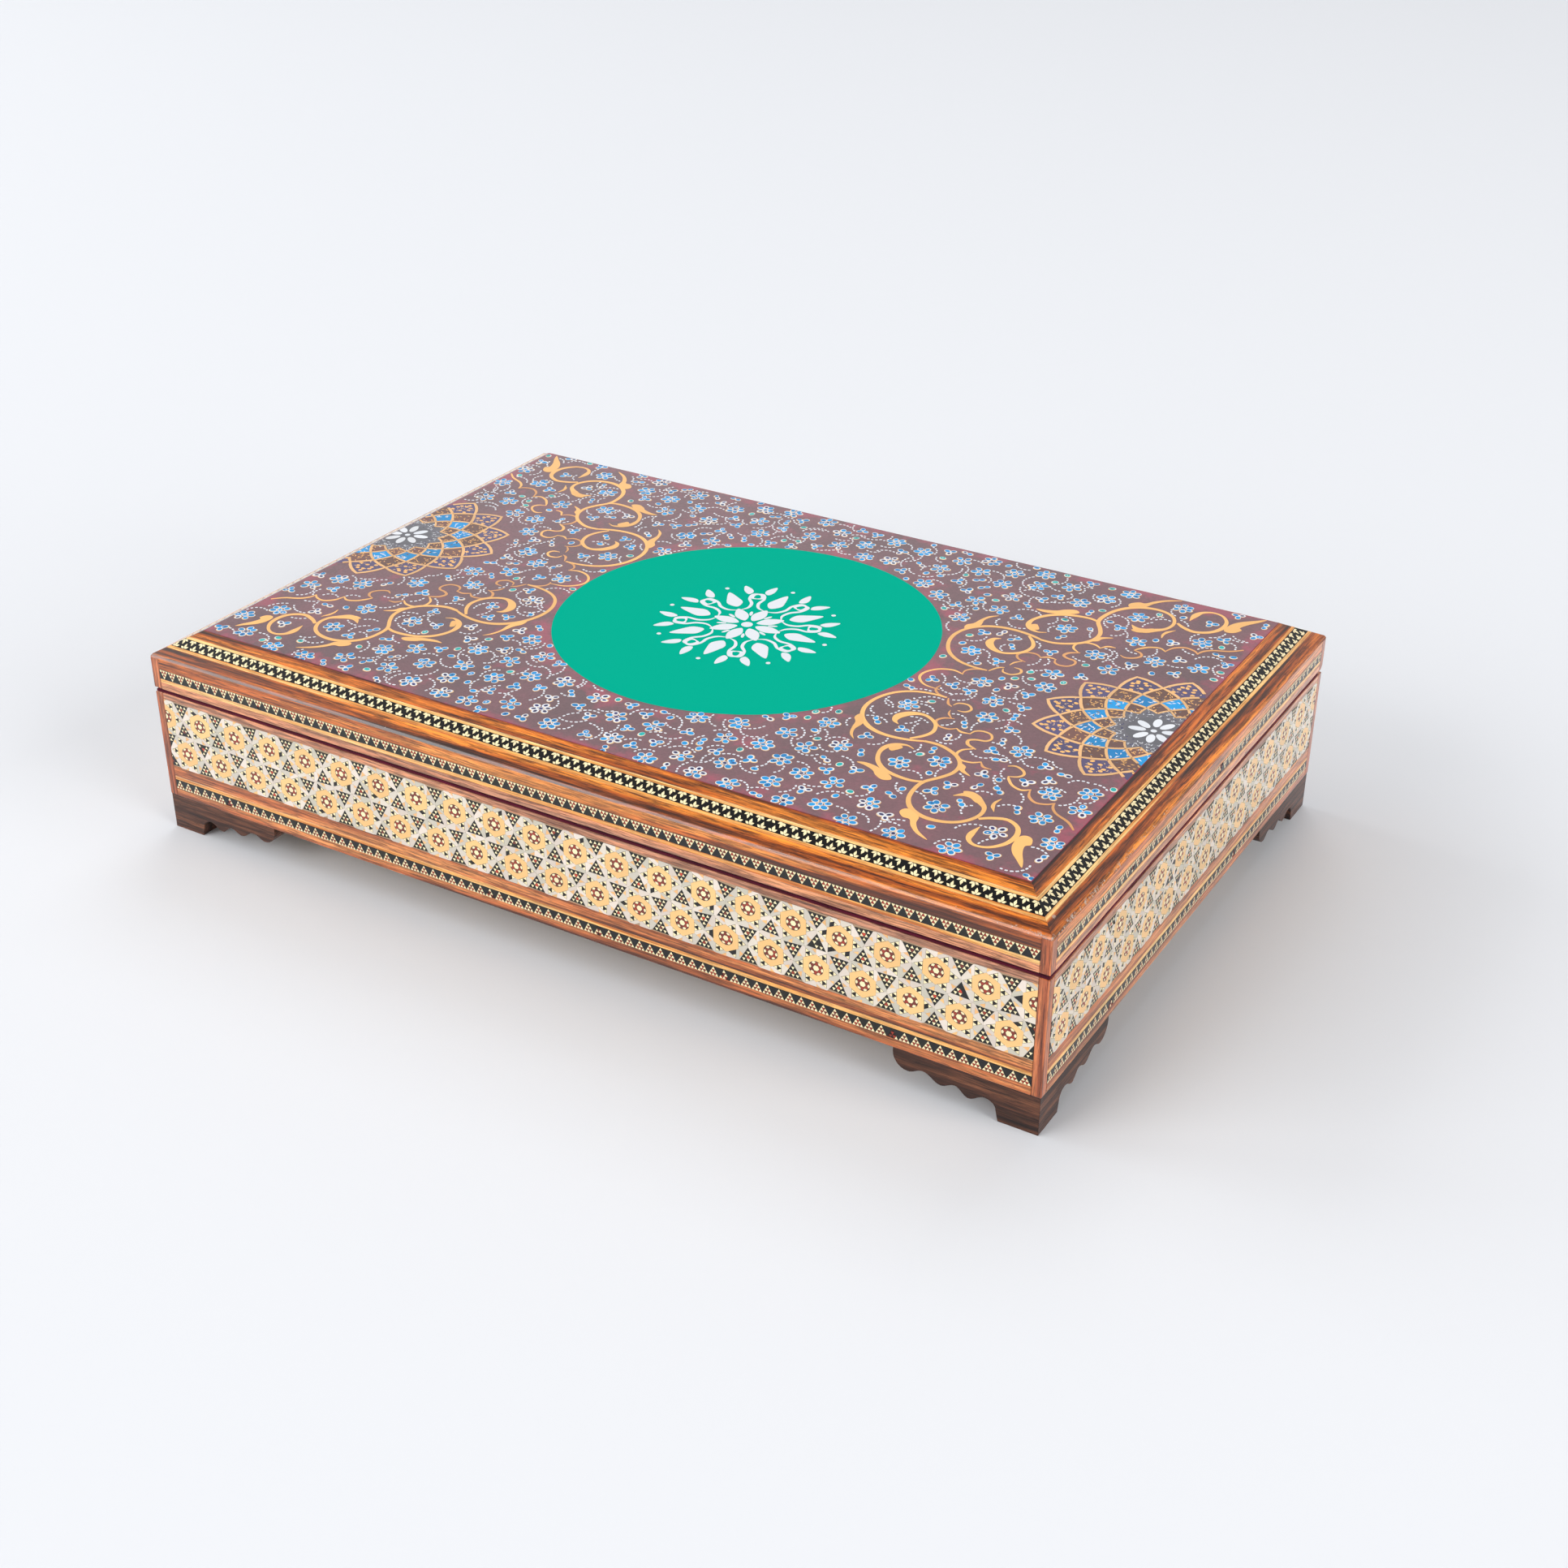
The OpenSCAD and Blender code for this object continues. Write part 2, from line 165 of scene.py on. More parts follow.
def on_bevel(s):
    """Coordinates (along, up the slope from the arris, outwards) of one side of the bevel."""
    a = math.pi / 2 * s
    c, n = round(math.cos(a)), round(math.sin(a))

    def f(q):
        x = q[:, 0]
        y = -side_depth(s) / 2 + q[:, 1] * math.cos(SLOPE) - q[:, 2] * math.sin(SLOPE)
        z = Z_ARRIS + q[:, 1] * math.sin(SLOPE) + q[:, 2] * math.cos(SLOPE)
        return np.c_[c * x - n * y, n * x + c * y, z]
    return f


def on_lid(q):
    return np.c_[q[:, 0], q[:, 1], Z_TOP + q[:, 2]]


class Tiles:
    """Many closed prisms in one mesh, each with its own finish."""

    def __init__(self, name, body, slot, replaces=()):
        self.name, self.body, self.slot, self.replaces = name, body, slot, replaces
        self.v, self.f, self.m, self.slots = [], [], [], []
        self.done, self.place, self.n = [], None, 0

    def at(self, place):
        self.flush()
        self.place = place
        return self

    def flush(self):
        if self.v:
            self.done.append(self.place(np.array(self.v, float)) / 1000)
            self.v = []

    def mat(self, name):
        if name not in self.slots:
            self.slots.append(name)
        return self.slots.index(name)

    def add(self, poly, lo, hi, mat, gap=0.0, top=None):
        p = inset(poly, gap)
        if p is None:
            return
        n, b, m = len(p), self.n, self.mat(mat)
        h = np.full(n, hi) if top is None else hi + top
        self.v += [(x, y, lo) for x, y in p] + [(x, y, z) for (x, y), z in zip(p, h)]
        self.f.append(tuple(range(b + n, b + 2 * n)))
        self.f.append(tuple(range(b + n - 1, b - 1, -1)))
        self.f += [(b + i, b + (i + 1) % n, b + n + (i + 1) % n, b + n + i) for i in range(n)]
        self.m += [m] * (n + 2)
        self.n += 2 * n

    def ring(self, outer, inner, lo, hi, mat):
        """A closed ring between two outlines of the same number of points."""
        k, b, m = len(outer), self.n, self.mat(mat)
        for pts, h in ((outer, lo), (outer, hi), (inner, lo), (inner, hi)):
            self.v += [(x, y, h) for x, y in pts]
        for i in range(k):
            j = (i + 1) % k
            ol, oh, il, ih = b, b + k, b + 2 * k, b + 3 * k
            self.f += [(oh + i, oh + j, ih + j, ih + i), (ol + j, ol + i, il + i, il + j),
                       (ol + i, ol + j, oh + j, oh + i), (il + j, il + i, ih + i, ih + j)]
        self.m += [m] * (4 * k)
        self.n += 4 * k

    def ribbon(self, pts, lo, hi, mat):
        """A closed strip along (x, y, width) points, tapered by the widths."""
        p = np.asarray(pts, float)
        d = np.gradient(p[:, :2], axis=0)
        d /= np.maximum(np.hypot(d[:, 0], d[:, 1]), 1e-9)[:, None]
        nrm = np.c_[-d[:, 1], d[:, 0]] * p[:, 2:3] / 2
        l, r = p[:, :2] + nrm, p[:, :2] - nrm
        k, b, m = len(p), self.n, self.mat(mat)
        for q, h in ((r, lo), (l, lo), (r, hi), (l, hi)):
            self.v += [(x, y, h) for x, y in q]
        rl, ll, rh, lh = b, b + k, b + 2 * k, b + 3 * k
        for i in range(k - 1):
            j = i + 1
            self.f += [(rh + i, rh + j, lh + j, lh + i), (rl + j, rl + i, ll + i, ll + j),
                       (rl + i, rl + j, rh + j, rh + i), (ll + j, ll + i, lh + i, lh + j)]
        self.f += [(rl, rh, lh, ll), (rl + k - 1, ll + k - 1, lh + k - 1, rh + k - 1)]
        self.m += [m] * (4 * (k - 1) + 2)
        self.n += 4 * k

    def build(self):
        self.flush()
        me = bpy.data.meshes.new(self.name)
        me.from_pydata(np.concatenate(self.done).tolist(), [], self.f)
        for s in self.slots:
            me.materials.append(MAT[s])
        me.polygons.foreach_set("material_index", np.array(self.m, np.int32))
        me.update()
        o = bpy.data.objects.new(self.name, me)
        bpy.context.scene.collection.objects.link(o)
        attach(o, self.body)
        if self.replaces:
            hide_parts(*self.replaces)
        return o


# ------------------------------------------------------------------ materials
MAT = {}


def lin(r, g, b):
    """Linear colour of an 8-bit sRGB one."""
    return tuple(((c / 255 + 0.055) / 1.055) ** 2.4 if c > 10.3 else c / 3294.6 for c in (r, g, b)) + (1,)


class Nodes:
    def __init__(self, name):
        self.m = bpy.data.materials.new(name)
        self.m.use_nodes = True
        self.t = self.m.node_tree
        self.t.nodes.clear()
        self.out = self.t.nodes.new("ShaderNodeOutputMaterial")
        self.b = self.t.nodes.new("ShaderNodeBsdfPrincipled")
        self.t.links.new(self.b.outputs[0], self.out.inputs[0])
        MAT[name] = self.m

    def set(self, **kw):
        for k, v in kw.items():
            s = self.b.inputs[k.replace("_", " ")]
            if hasattr(v, "links"):
                self.t.links.new(v, s)
            else:
                s.default_value = v
        return self

    def node(self, kind, out=0, **inputs):
        n = self.t.nodes.new("ShaderNode" + kind)
        for k, v in inputs.items():
            if hasattr(n, k) and not k.startswith("i_"):
                setattr(n, k, v)
                continue
            key = k[2:] if k.startswith("i_") else k
            s = n.inputs[int(key)] if key.isdigit() else n.inputs[key.replace("_", " ")]
            if hasattr(v, "links"):
                self.t.links.new(v, s)
            else:
                s.default_value = v
        return n.outputs[out]

    def coord(self):
        return self.node("TexCoord", out=3)

    def math(self, op, a, b=0.0, c=0.0):
        n = self.t.nodes.new("ShaderNodeMath")
        n.operation = op
        for s, v in zip(n.inputs, (a, b, c)):
            if hasattr(v, "links"):
                self.t.links.new(v, s)
            else:
                s.default_value = v
        return n.outputs[0]

    def noise(self, vec, scale, detail=4, rough=0.55, out=0, w=None, distortion=0.0):
        n = self.t.nodes.new("ShaderNodeTexNoise")
        if w is not None:
            n.noise_dimensions = "4D"
            n.inputs["W"].default_value = w
        self.t.links.new(vec, n.inputs["Vector"])
        n.inputs["Scale"].default_value = scale
        n.inputs["Detail"].default_value = detail
        n.inputs["Roughness"].default_value = rough
        n.inputs["Distortion"].default_value = distortion
        return n.outputs[out]

    def ramp(self, fac, stops):
        n = self.t.nodes.new("ShaderNodeValToRGB")
        e = n.color_ramp.elements
        while len(e) < len(stops):
            e.new(0.5)
        for el, (pos, col) in zip(e, stops):
            el.position = pos
            el.color = col
        self.t.links.new(fac, n.inputs[0])
        return n.outputs[0]

    def range(self, v, a, b, c, d):
        n = self.t.nodes.new("ShaderNodeMapRange")
        self.t.links.new(v, n.inputs[0])
        for i, x in enumerate((a, b, c, d)):
            n.inputs[i + 1].default_value = x
        return n.outputs[0]

    def mix(self, fac, a, b, blend="MIX"):
        n = self.t.nodes.new("ShaderNodeMix")
        n.data_type = "RGBA"
        n.blend_type = blend
        for s, v in ((n.inputs[0], fac), (n.inputs[6], a), (n.inputs[7], b)):
            if hasattr(v, "links"):
                self.t.links.new(v, s)
            else:
                s.default_value = v
        return n.outputs[2]

    def scaled(self, vec, xyz):
        n = self.t.nodes.new("ShaderNodeVectorMath")
        n.operation = "MULTIPLY"
        self.t.links.new(vec, n.inputs[0])
        n.inputs[1].default_value = xyz
        return n.outputs[0]

    def split(self, vec):
        n = self.t.nodes.new("ShaderNodeSeparateXYZ")
        self.t.links.new(vec, n.inputs[0])
        return n.outputs

    def bump(self, height, distance, strength=1.0, normal=None):
        n = self.t.nodes.new("ShaderNodeBump")
        n.inputs["Strength"].default_value = strength
        n.inputs["Distance"].default_value = distance
        self.t.links.new(height, n.inputs["Height"])
        if normal is not None:
            self.t.links.new(normal, n.inputs["Normal"])
        return n.outputs[0]


def tile_finish(name, rgb, rough=(0.34, 0.5), coat=1.0, coat_rough=0.16, grain=1800, dist=0.00002, spec=0.2):
    """One shade of a small inlay tile: plain stuff, sanded flush and varnished."""
    n = Nodes(name)
    co = n.coord()
    fine = n.noise(co, grain, 5, 0.6)
    broad = n.noise(co, 160, 3, 0.5)
    n.set(Base_Color=lin(*rgb), Roughness=n.range(fine, 0.3, 0.7, *rough),
          Coat_Weight=coat, Coat_Roughness=coat_rough, Specular_IOR_Level=spec, Sheen_Weight=0.15, Sheen_Roughness=0.4,
          Normal=n.bump(broad, 0.00006, 0.6, n.bump(fine, dist, 0.8)))
    return n


def wood(name, dark, mid, light, axis, grain=1.0, streak=0.5, rough=(0.3, 0.46), coat=0.9,
         coat_rough=0.12, bump=0.00005, pores=0.6, pale=None, seed=0.0, figure=1.0, chips=None, contrast=0.62, spec=0.2):
    """Straight-grained varnished wood. axis is the way the grain runs: X, Y, Z, or M for frames mitred at the corners."""
    n = Nodes(name)
    co = n.coord()
    x, y, z = n.split(co)[0:3]
    if axis == "M":
        front = n.math("GREATER_THAN", n.math("SUBTRACT", n.math("ABSOLUTE", y), n.math("SUBTRACT", n.math("ABSOLUTE", x), 0.0535)), 0.0)
        back = n.math("SUBTRACT", 1.0, front)
        along = n.math("ADD", n.math("MULTIPLY", x, front), n.math("MULTIPLY", y, back))
        cross = n.math("ADD", n.math("MULTIPLY", y, front), n.math("MULTIPLY", x, back))
        up = z
    elif axis == "Z":
        along, cross, up = z, x, y
    elif axis == "Y":
        along, cross, up = y, x, z
    else:
        along, cross, up = x, y, z
    comb = n.t.nodes.new("ShaderNodeCombineXYZ")
    for s, v in zip(comb.inputs, (along, cross, up)):
        n.t.links.new(v, s)
    v = comb.outputs[0]
    warp = n.noise(n.scaled(v, (6, 40, 40)), 1.0, 2, 0.5, out=1, w=seed)
    wn = n.t.nodes.new("ShaderNodeVectorMath")
    wn.operation = "MULTIPLY_ADD"
    n.t.links.new(warp, wn.inputs[0])
    wn.inputs[1].default_value = (0.0, 0.0022 * figure, 0.0022 * figure)
    n.t.links.new(v, wn.inputs[2])
    v2 = wn.outputs[0]
    fig = n.noise(n.scaled(v2, (7 * grain, 380 * grain, 380 * grain)), 1.0, 4, 0.6, w=seed + 1.3)
    fine = n.noise(n.scaled(v2, (60 * grain, 1250 * grain, 1250 * grain)), 1.0, 6, 0.75, w=seed + 4.1)
    long_pores = n.noise(n.scaled(v2, (150, 2300, 2300)), 1.0, 3, 0.6, w=seed + 7.7)
    blotch = n.noise(n.scaled(v, (22, 60, 60)), 1.0, 3, 0.5, w=seed + 9.2)
    base = n.ramp(fig, [(0.38, dark), (0.48, mid), (0.60, light)])
    fine_d = n.range(fine, 0.41, 0.59, 1.0 - contrast, 1.0 + 0.42 * contrast)
    col = n.mix(1.0, base, n.node("CombineColor", i_Red=fine_d, i_Green=fine_d, i_Blue=fine_d), "MULTIPLY")
    if pale is not None:   # a paler, pinker cut of wood in the band next to the seam
        at = n.range(z, pale[0], pale[1], 0.0, 0.62)
        col = n.mix(at, col, n.mix(1.0, lin(222, 158, 122), n.node("CombineColor", i_Red=fine_d, i_Green=fine_d, i_Blue=fine_d), "MULTIPLY"))
    pore = n.math("MULTIPLY", n.range(long_pores, 0.53, 0.61, 0.0, 1.0), pores)
    col = n.mix(pore, col, tuple(c * 0.35 for c in dark[:3]) + (1,))
    sm = n.math("MULTIPLY", n.range(blotch, 0.52, 0.72, 0.0, 1.0), streak)
    col = n.mix(sm, col, dark)
    r = n.range(blotch, 0.3, 0.7, *rough)
    h = n.math("SUBTRACT", fine, n.math("MULTIPLY", pore, 0.8))
    if chips is not None:
        mask = chips(n, x, y, z, co)
        col = n.mix(mask, col, lin(186, 166, 150))
        r = n.math("ADD", r, n.math("MULTIPLY", mask, 0.35))
        h = n.math("SUBTRACT", h, n.math("MULTIPLY", mask, 2.0))
    n.set(Base_Color=col, Roughness=r, Coat_Weight=coat, Coat_Roughness=coat_rough, Specular_IOR_Level=spec,
          Sheen_Weight=0.08, Sheen_Roughness=0.4,
          Normal=n.bump(h, bump, 0.7))
    return n


def shades(name, rgb, count, spread, **kw):
    r = np.random.default_rng(abs(hash_name(name)) % 9999)
    for i in range(count):
        k = 1 + spread * (2 * (i + 0.5) / count - 1)
        t = r.normal(0, spread * 18, 3)
        c = [min(255, max(2, rgb[j] * k + t[j] * (1, 0.7, 0.9)[j])) for j in range(3)]
        tile_finish(f"{name}_{i}", c, **kw)
    SHADES[name] = count


def hash_name(s):
    h = 7
    for ch in s:
        h = (h * 31 + ord(ch)) % 1000003
    return h


SHADES = {}


def pick(name, r=None):
    return f"{name}_{(r or rng).integers(SHADES[name])}"


shades("bone", (243, 227, 180), 4, 0.04)
shades("white", (210, 200, 185), 7, 0.085, grain=900, dist=0.00003)
shades("peach", (234, 181, 116), 3, 0.07)
shades("amber", (238, 190, 124), 5, 0.035, grain=1200)
shades("ebony", (17, 13, 11), 3, 0.25, coat=0.75, spec=0.1)
tile_finish("black_wood", (9, 7, 7), coat=0.45, spec=0.1)
shades("scarlet", (186, 50, 16), 3, 0.12)
shades("redwood", (134, 36, 10), 4, 0.22)
tile_finish("joint", (38, 24, 18), rough=(0.5, 0.7), coat=0.25)
tile_finish("pale_joint", (164, 138, 110), rough=(0.5, 0.7), coat=0.4)
tile_finish("rosette_ground", (66, 34, 16))

shades("gold", (238, 178, 100), 3, 0.05, rough=(0.35, 0.5), grain=1500, dist=0.00003, coat=0.35, spec=0.1)
shades("line_gold", (222, 172, 112), 3, 0.05, rough=(0.35, 0.5), grain=1500, coat=0.35, spec=0.1)
shades("vine", (212, 148, 84), 2, 0.05, rough=(0.35, 0.5), grain=1500, coat=0.35, spec=0.1)
shades("blue", (0, 134, 196), 6, 0.13, rough=(0.4, 0.55), coat=0.12, spec=0.06)
shades("paint_white", (216, 218, 222), 3, 0.04, rough=(0.35, 0.5), coat=0.3, spec=0.1)
shades("paint_pale", (226, 186, 134), 2, 0.05, coat=0.3, spec=0.1)
shades("sea", (0, 164, 160), 3, 0.08, coat=0.12, spec=0.06)
shades("navy", (34, 28, 86), 3, 0.16, coat=0.12, spec=0.06)
shades("slate", (70, 60, 100), 3, 0.08, coat=0.3, spec=0.1)
shades("umber", (100, 62, 50), 3, 0.1, coat=0.3, spec=0.1)
shades("ash", (92, 90, 98), 3, 0.08, coat=0.3, spec=0.1)

W_BODY = dict(dark=lin(84, 36, 14), mid=lin(186, 98, 48), light=lin(222, 142, 80))
W_LID = dict(dark=lin(88, 36, 10), mid=lin(204, 104, 36), light=lin(238, 150, 68))
W_MOULD = dict(dark=lin(58, 23, 6), mid=lin(180, 86, 20), light=lin(232, 136, 44))
W_CORNER = dict(dark=lin(96, 40, 18), mid=lin(164, 82, 44), light=lin(196, 112, 66))
W_FOOT = dict(dark=lin(34, 16, 10), mid=lin(78, 44, 30), light=lin(118, 72, 48))
W_LINE = dict(dark=lin(196, 106, 36), mid=lin(238, 166, 84), light=lin(252, 204, 132))
W_PINE = dict(dark=lin(150, 110, 66), mid=lin(196, 156, 104), light=lin(220, 186, 136))


def arris_chips(n, x, y, z, co):
    """Small losses of varnish and wood along the lid's arris, most of them at the front right corner."""
    zt = n.math("ABSOLUTE", n.math("SUBTRACT", z, 0.0637))
    ix = n.math("SUBTRACT", 0.159, n.math("ABSOLUTE", x))
    iy = n.math("SUBTRACT", 0.1055, n.math("ABSOLUTE", y))
    edge = n.math("MINIMUM", ix, iy)
    near = n.math("MAXIMUM", zt, edge)
    band = n.range(near, 0.0004, 0.0010, 1.0, 0.0)
    sp = n.noise(co, 900, 5, 0.75, w=3.0)
    runs = n.noise(co, 130, 2, 0.5, w=8.0)
    dx = n.math("SUBTRACT", x, 0.159)
    dy = n.math("ADD", y, 0.1055)
    dist = n.math("SQRT", n.math("ADD", n.math("MULTIPLY", dx, dx), n.math("MULTIPLY", n.math("MULTIPLY", dy, dy), 0.02)))
    more = n.range(dist, 0.002, 0.020, 0.075, -0.05)
    m = n.range(n.math("ADD", n.math("ADD", sp, more), n.math("MULTIPLY", n.math("SUBTRACT", runs, 0.5), 0.25)), 0.60, 0.64, 0.0, 1.0)
    # one bruise on the right-hand bevel, close to its mitre
    bx = n.math("MULTIPLY", n.math("SUBTRACT", x, 0.1555), 1.6)
    by = n.math("SUBTRACT", y, -0.0982)
    spot = n.math("SQRT", n.math("ADD", n.math("MULTIPLY", bx, bx), n.math("MULTIPLY", by, by)))
    bruise = n.range(n.math("ADD", spot, n.math("MULTIPLY", n.math("SUBTRACT", sp, 0.5), 0.003)), 0.0005, 0.0009, 0.7, 0.0)
    return n.math("MAXIMUM", n.math("MULTIPLY", m, band), bruise)


for ax in "XY":
    wood("body_wood_" + ax, axis=ax, seed=2.0 + ord(ax), pale=(0.0478, 0.0482), **W_BODY)
    wood("lid_wood_" + ax, axis=ax, seed=12.0 + ord(ax), grain=0.9, pale=(0.0556, 0.0550), **W_LID)
    wood("mould_wood_" + ax, axis=ax, seed=22.0 + ord(ax), grain=0.8, streak=0.3, coat_rough=0.2, contrast=0.75, chips=arris_chips, **W_MOULD)
    wood("carcass_" + ax, axis=ax, seed=32.0 + ord(ax), coat=0.0, rough=(0.5, 0.7), **W_PINE)
wood("corner_wood", axis="Z", seed=5.0, **W_CORNER)
wood("border_wood", axis="M", seed=15.0, grain=0.8, streak=0.4, contrast=0.75, **W_MOULD)
wood("foot_wood", axis="M", seed=25.0, rough=(0.4, 0.58), coat=0.35, **W_FOOT)
wood("line_wood", axis="M", seed=35.0, grain=1.5, streak=0.25, pores=0.15, figure=1.6, contrast=0.4, **W_LINE)
wood("board_wood", axis="X", seed=45.0, coat=0.0, rough=(0.5, 0.7), **W_PINE)


def lacquer():
    n = Nodes("lacquer")
    co = n.coord()
    x, y, z = n.split(co)[0:3]
    broad = n.noise(co, 34, 4, 0.6)
    cloud = n.noise(co, 85, 5, 0.65, w=2.0)
    fine = n.noise(co, 1300, 4, 0.6)
    base = n.ramp(broad, [(0.3, lin(82, 40, 46)), (0.55, lin(102, 48, 57)), (0.75, lin(120, 54, 66))])
    base = n.mix(n.range(fine, 0.35, 0.7, 0.0, 0.35), base, lin(48, 28, 34))
    r = n.math("SQRT", n.math("ADD", n.math("MULTIPLY", x, x), n.math("MULTIPLY", n.math("SUBTRACT", y, 0.0016), n.math("SUBTRACT", y, 0.0016))))
    near_disc = n.range(n.math("ABSOLUTE", n.math("SUBTRACT", r, 0.065)), 0.0, 0.009, 0.14, 0.0)
    edge = n.math("MINIMUM", n.math("SUBTRACT", 0.1465, n.math("ABSOLUTE", x)), n.math("SUBTRACT", 0.093, n.math("ABSOLUTE", y)))
    near_edge = n.range(edge, 0.0, 0.008, 0.16, 0.0)
    pat = n.math("ADD", cloud, n.math("ADD", near_disc, near_edge))
    red = n.range(pat, 0.57, 0.72, 0.0, 0.8)
    base = n.mix(red, base, lin(150, 34, 66))
    n.set(Base_Color=base, Roughness=n.range(fine, 0.3, 0.7, 0.36, 0.5), Coat_Weight=0.85,
          Coat_Roughness=0.12, Specular_IOR_Level=0.25, Normal=n.bump(cloud, 0.00008, 0.5, n.bump(fine, 0.00001, 0.6)))


lacquer()


def disc_paint():
    n = Nodes("disc_green")
    co = n.coord()
    cloud = n.noise(co, 60, 4, 0.6)
    fine = n.noise(co, 1500, 4, 0.7)
    brush = n.noise(n.scaled(co, (30, 600, 600)), 1.0, 3, 0.6)
    n.set(Base_Color=(0.0, 0.375, 0.25, 1), Roughness=n.range(fine, 0.3, 0.7, 0.45, 0.6), Coat_Weight=0.03,
          Coat_Roughness=0.14, Specular_IOR_Level=0.0, Normal=n.bump(brush, 0.00002, 0.6, n.bump(cloud, 0.00006, 0.5, n.bump(fine, 0.00001, 0.8))))


disc_paint()


def velvet():
    n = Nodes("velvet")
    co = n.coord()
    pile = n.noise(co, 4200, 3, 0.7)
    nap = n.noise(co, 120, 3, 0.55)
    col = n.ramp(nap, [(0.3, lin(66, 3, 26)), (0.6, lin(92, 8, 38)), (0.8, lin(116, 20, 54))])
    col = n.mix(n.range(pile, 0.3, 0.75, 0.5, 0.0), col, lin(36, 2, 14))
    n.set(Base_Color=col, Roughness=n.range(pile, 0.3, 0.7, 0.8, 0.95), Sheen_Weight=0.45, Sheen_Roughness=0.35,
          Sheen_Tint=lin(235, 170, 190), Specular_IOR_Level=0.2, Normal=n.bump(pile, 0.00012, 0.9))


velvet()


def brass():
    n = Nodes("brass")
    co = n.coord()
    fine = n.noise(n.scaled(co, (300, 3500, 3500)), 1.0, 4, 0.6)
    tarn = n.noise(co, 260, 4, 0.6)
    col = n.ramp(tarn, [(0.35, lin(150, 112, 58)), (0.6, lin(205, 165, 92))])
    n.set(Base_Color=col, Metallic=1.0, Roughness=n.range(tarn, 0.3, 0.7, 0.45, 0.26),
          Normal=n.bump(fine, 0.00001, 0.6))


brass()


def dress(names, mat, bevel=0.0, segs=2):
    for name in names:
        o = nodes[name]
        o.data.materials.clear()
        o.data.materials.append(MAT[mat])
        for p in o.data.polygons:
            p.use_smooth = False
        if bevel:
            w = o.modifiers.new("weld", "WELD")
            w.merge_threshold = 1e-6
            b = o.modifiers.new("edge", "BEVEL")
            b.width = bevel / 1000
            b.segments = segs
            b.limit_method = "ANGLE"
            b.angle_limit = math.radians(35)
            b.use_clamp_overlap = True


for s, ax in (("front", "X"), ("back", "X"), ("left", "Y"), ("right", "Y")):
    dress(["body_bands_" + s], "body_wood_" + ax, 0.18)
    dress(["lid_bands_" + s], "lid_wood_" + ax, 0.2)
    dress(["wall_" + s, "lid_rail_" + s], "carcass_" + ax)
dress(["bottom_board", "lid_board", "foot_blocks"], "board_wood")
dress(["body_corner_strips", "lid_corner_strips"], "corner_wood", 0.35, 3)
dress(["foot_front_left", "foot_front_right", "foot_back_left", "foot_back_right"], "foot_wood", 0.3)
dress(["body_stringing", "lid_stringing", "bevel_stringing"], "line_wood", 0.1, 1)
dress(["panel_border"], "border_wood", 0.15, 1)
dress(["painted_panel"], "lacquer", 0.2)
dress(["lining_floor", "lining_walls", "rim_velvet_body", "lid_lining_top", "lid_lining_walls", "rim_velvet_lid"],
      "velvet", 0.2)
dress(["hinge_leaf_body_left", "hinge_leaf_body_right", "hinge_leaf_lid_left", "hinge_leaf_lid_right",
       "hinge_pins", "screws_body", "screws_lid"], "brass", 0.08, 1)
for name in ("hinge_leaf_body_left", "hinge_leaf_body_right", "hinge_leaf_lid_left", "hinge_leaf_lid_right",
             "hinge_pins", "screws_body", "screws_lid"):
    pass

# ---------------------------------------------------------- star marquetry
SUNK = 0.12   # depth of the joints between tiles, mm
GAP = 0.022   # half the width of a joint, mm


def slab(t, x0, x1, y0, y1, lo, hi, mat="joint"):
    t.add([(x0, y0), (x1, y0), (x1, y1), (x0, y1)], lo, hi, mat)


def subdivided(a, b, c, n):
    """The upright and the inverted small triangles of a triangle cut n times along each edge."""
    a, b, c = (np.asarray(q, float) for q in (a, b, c))
    u, v = (b - a) / n, (c - a) / n
    up = [(i, j, [a + u * i + v * j, a + u * (i + 1) + v * j, a + u * i + v * (j + 1)])
          for j in range(n) for i in range(n - j)]
    down = [(i, j, [a + u * (i + 1) + v * j, a + u * (i + 1) + v * (j + 1), a + u * i + v * (j + 1)])
            for j in range(n - 1) for i in range(n - 1 - j)]
    return up, down


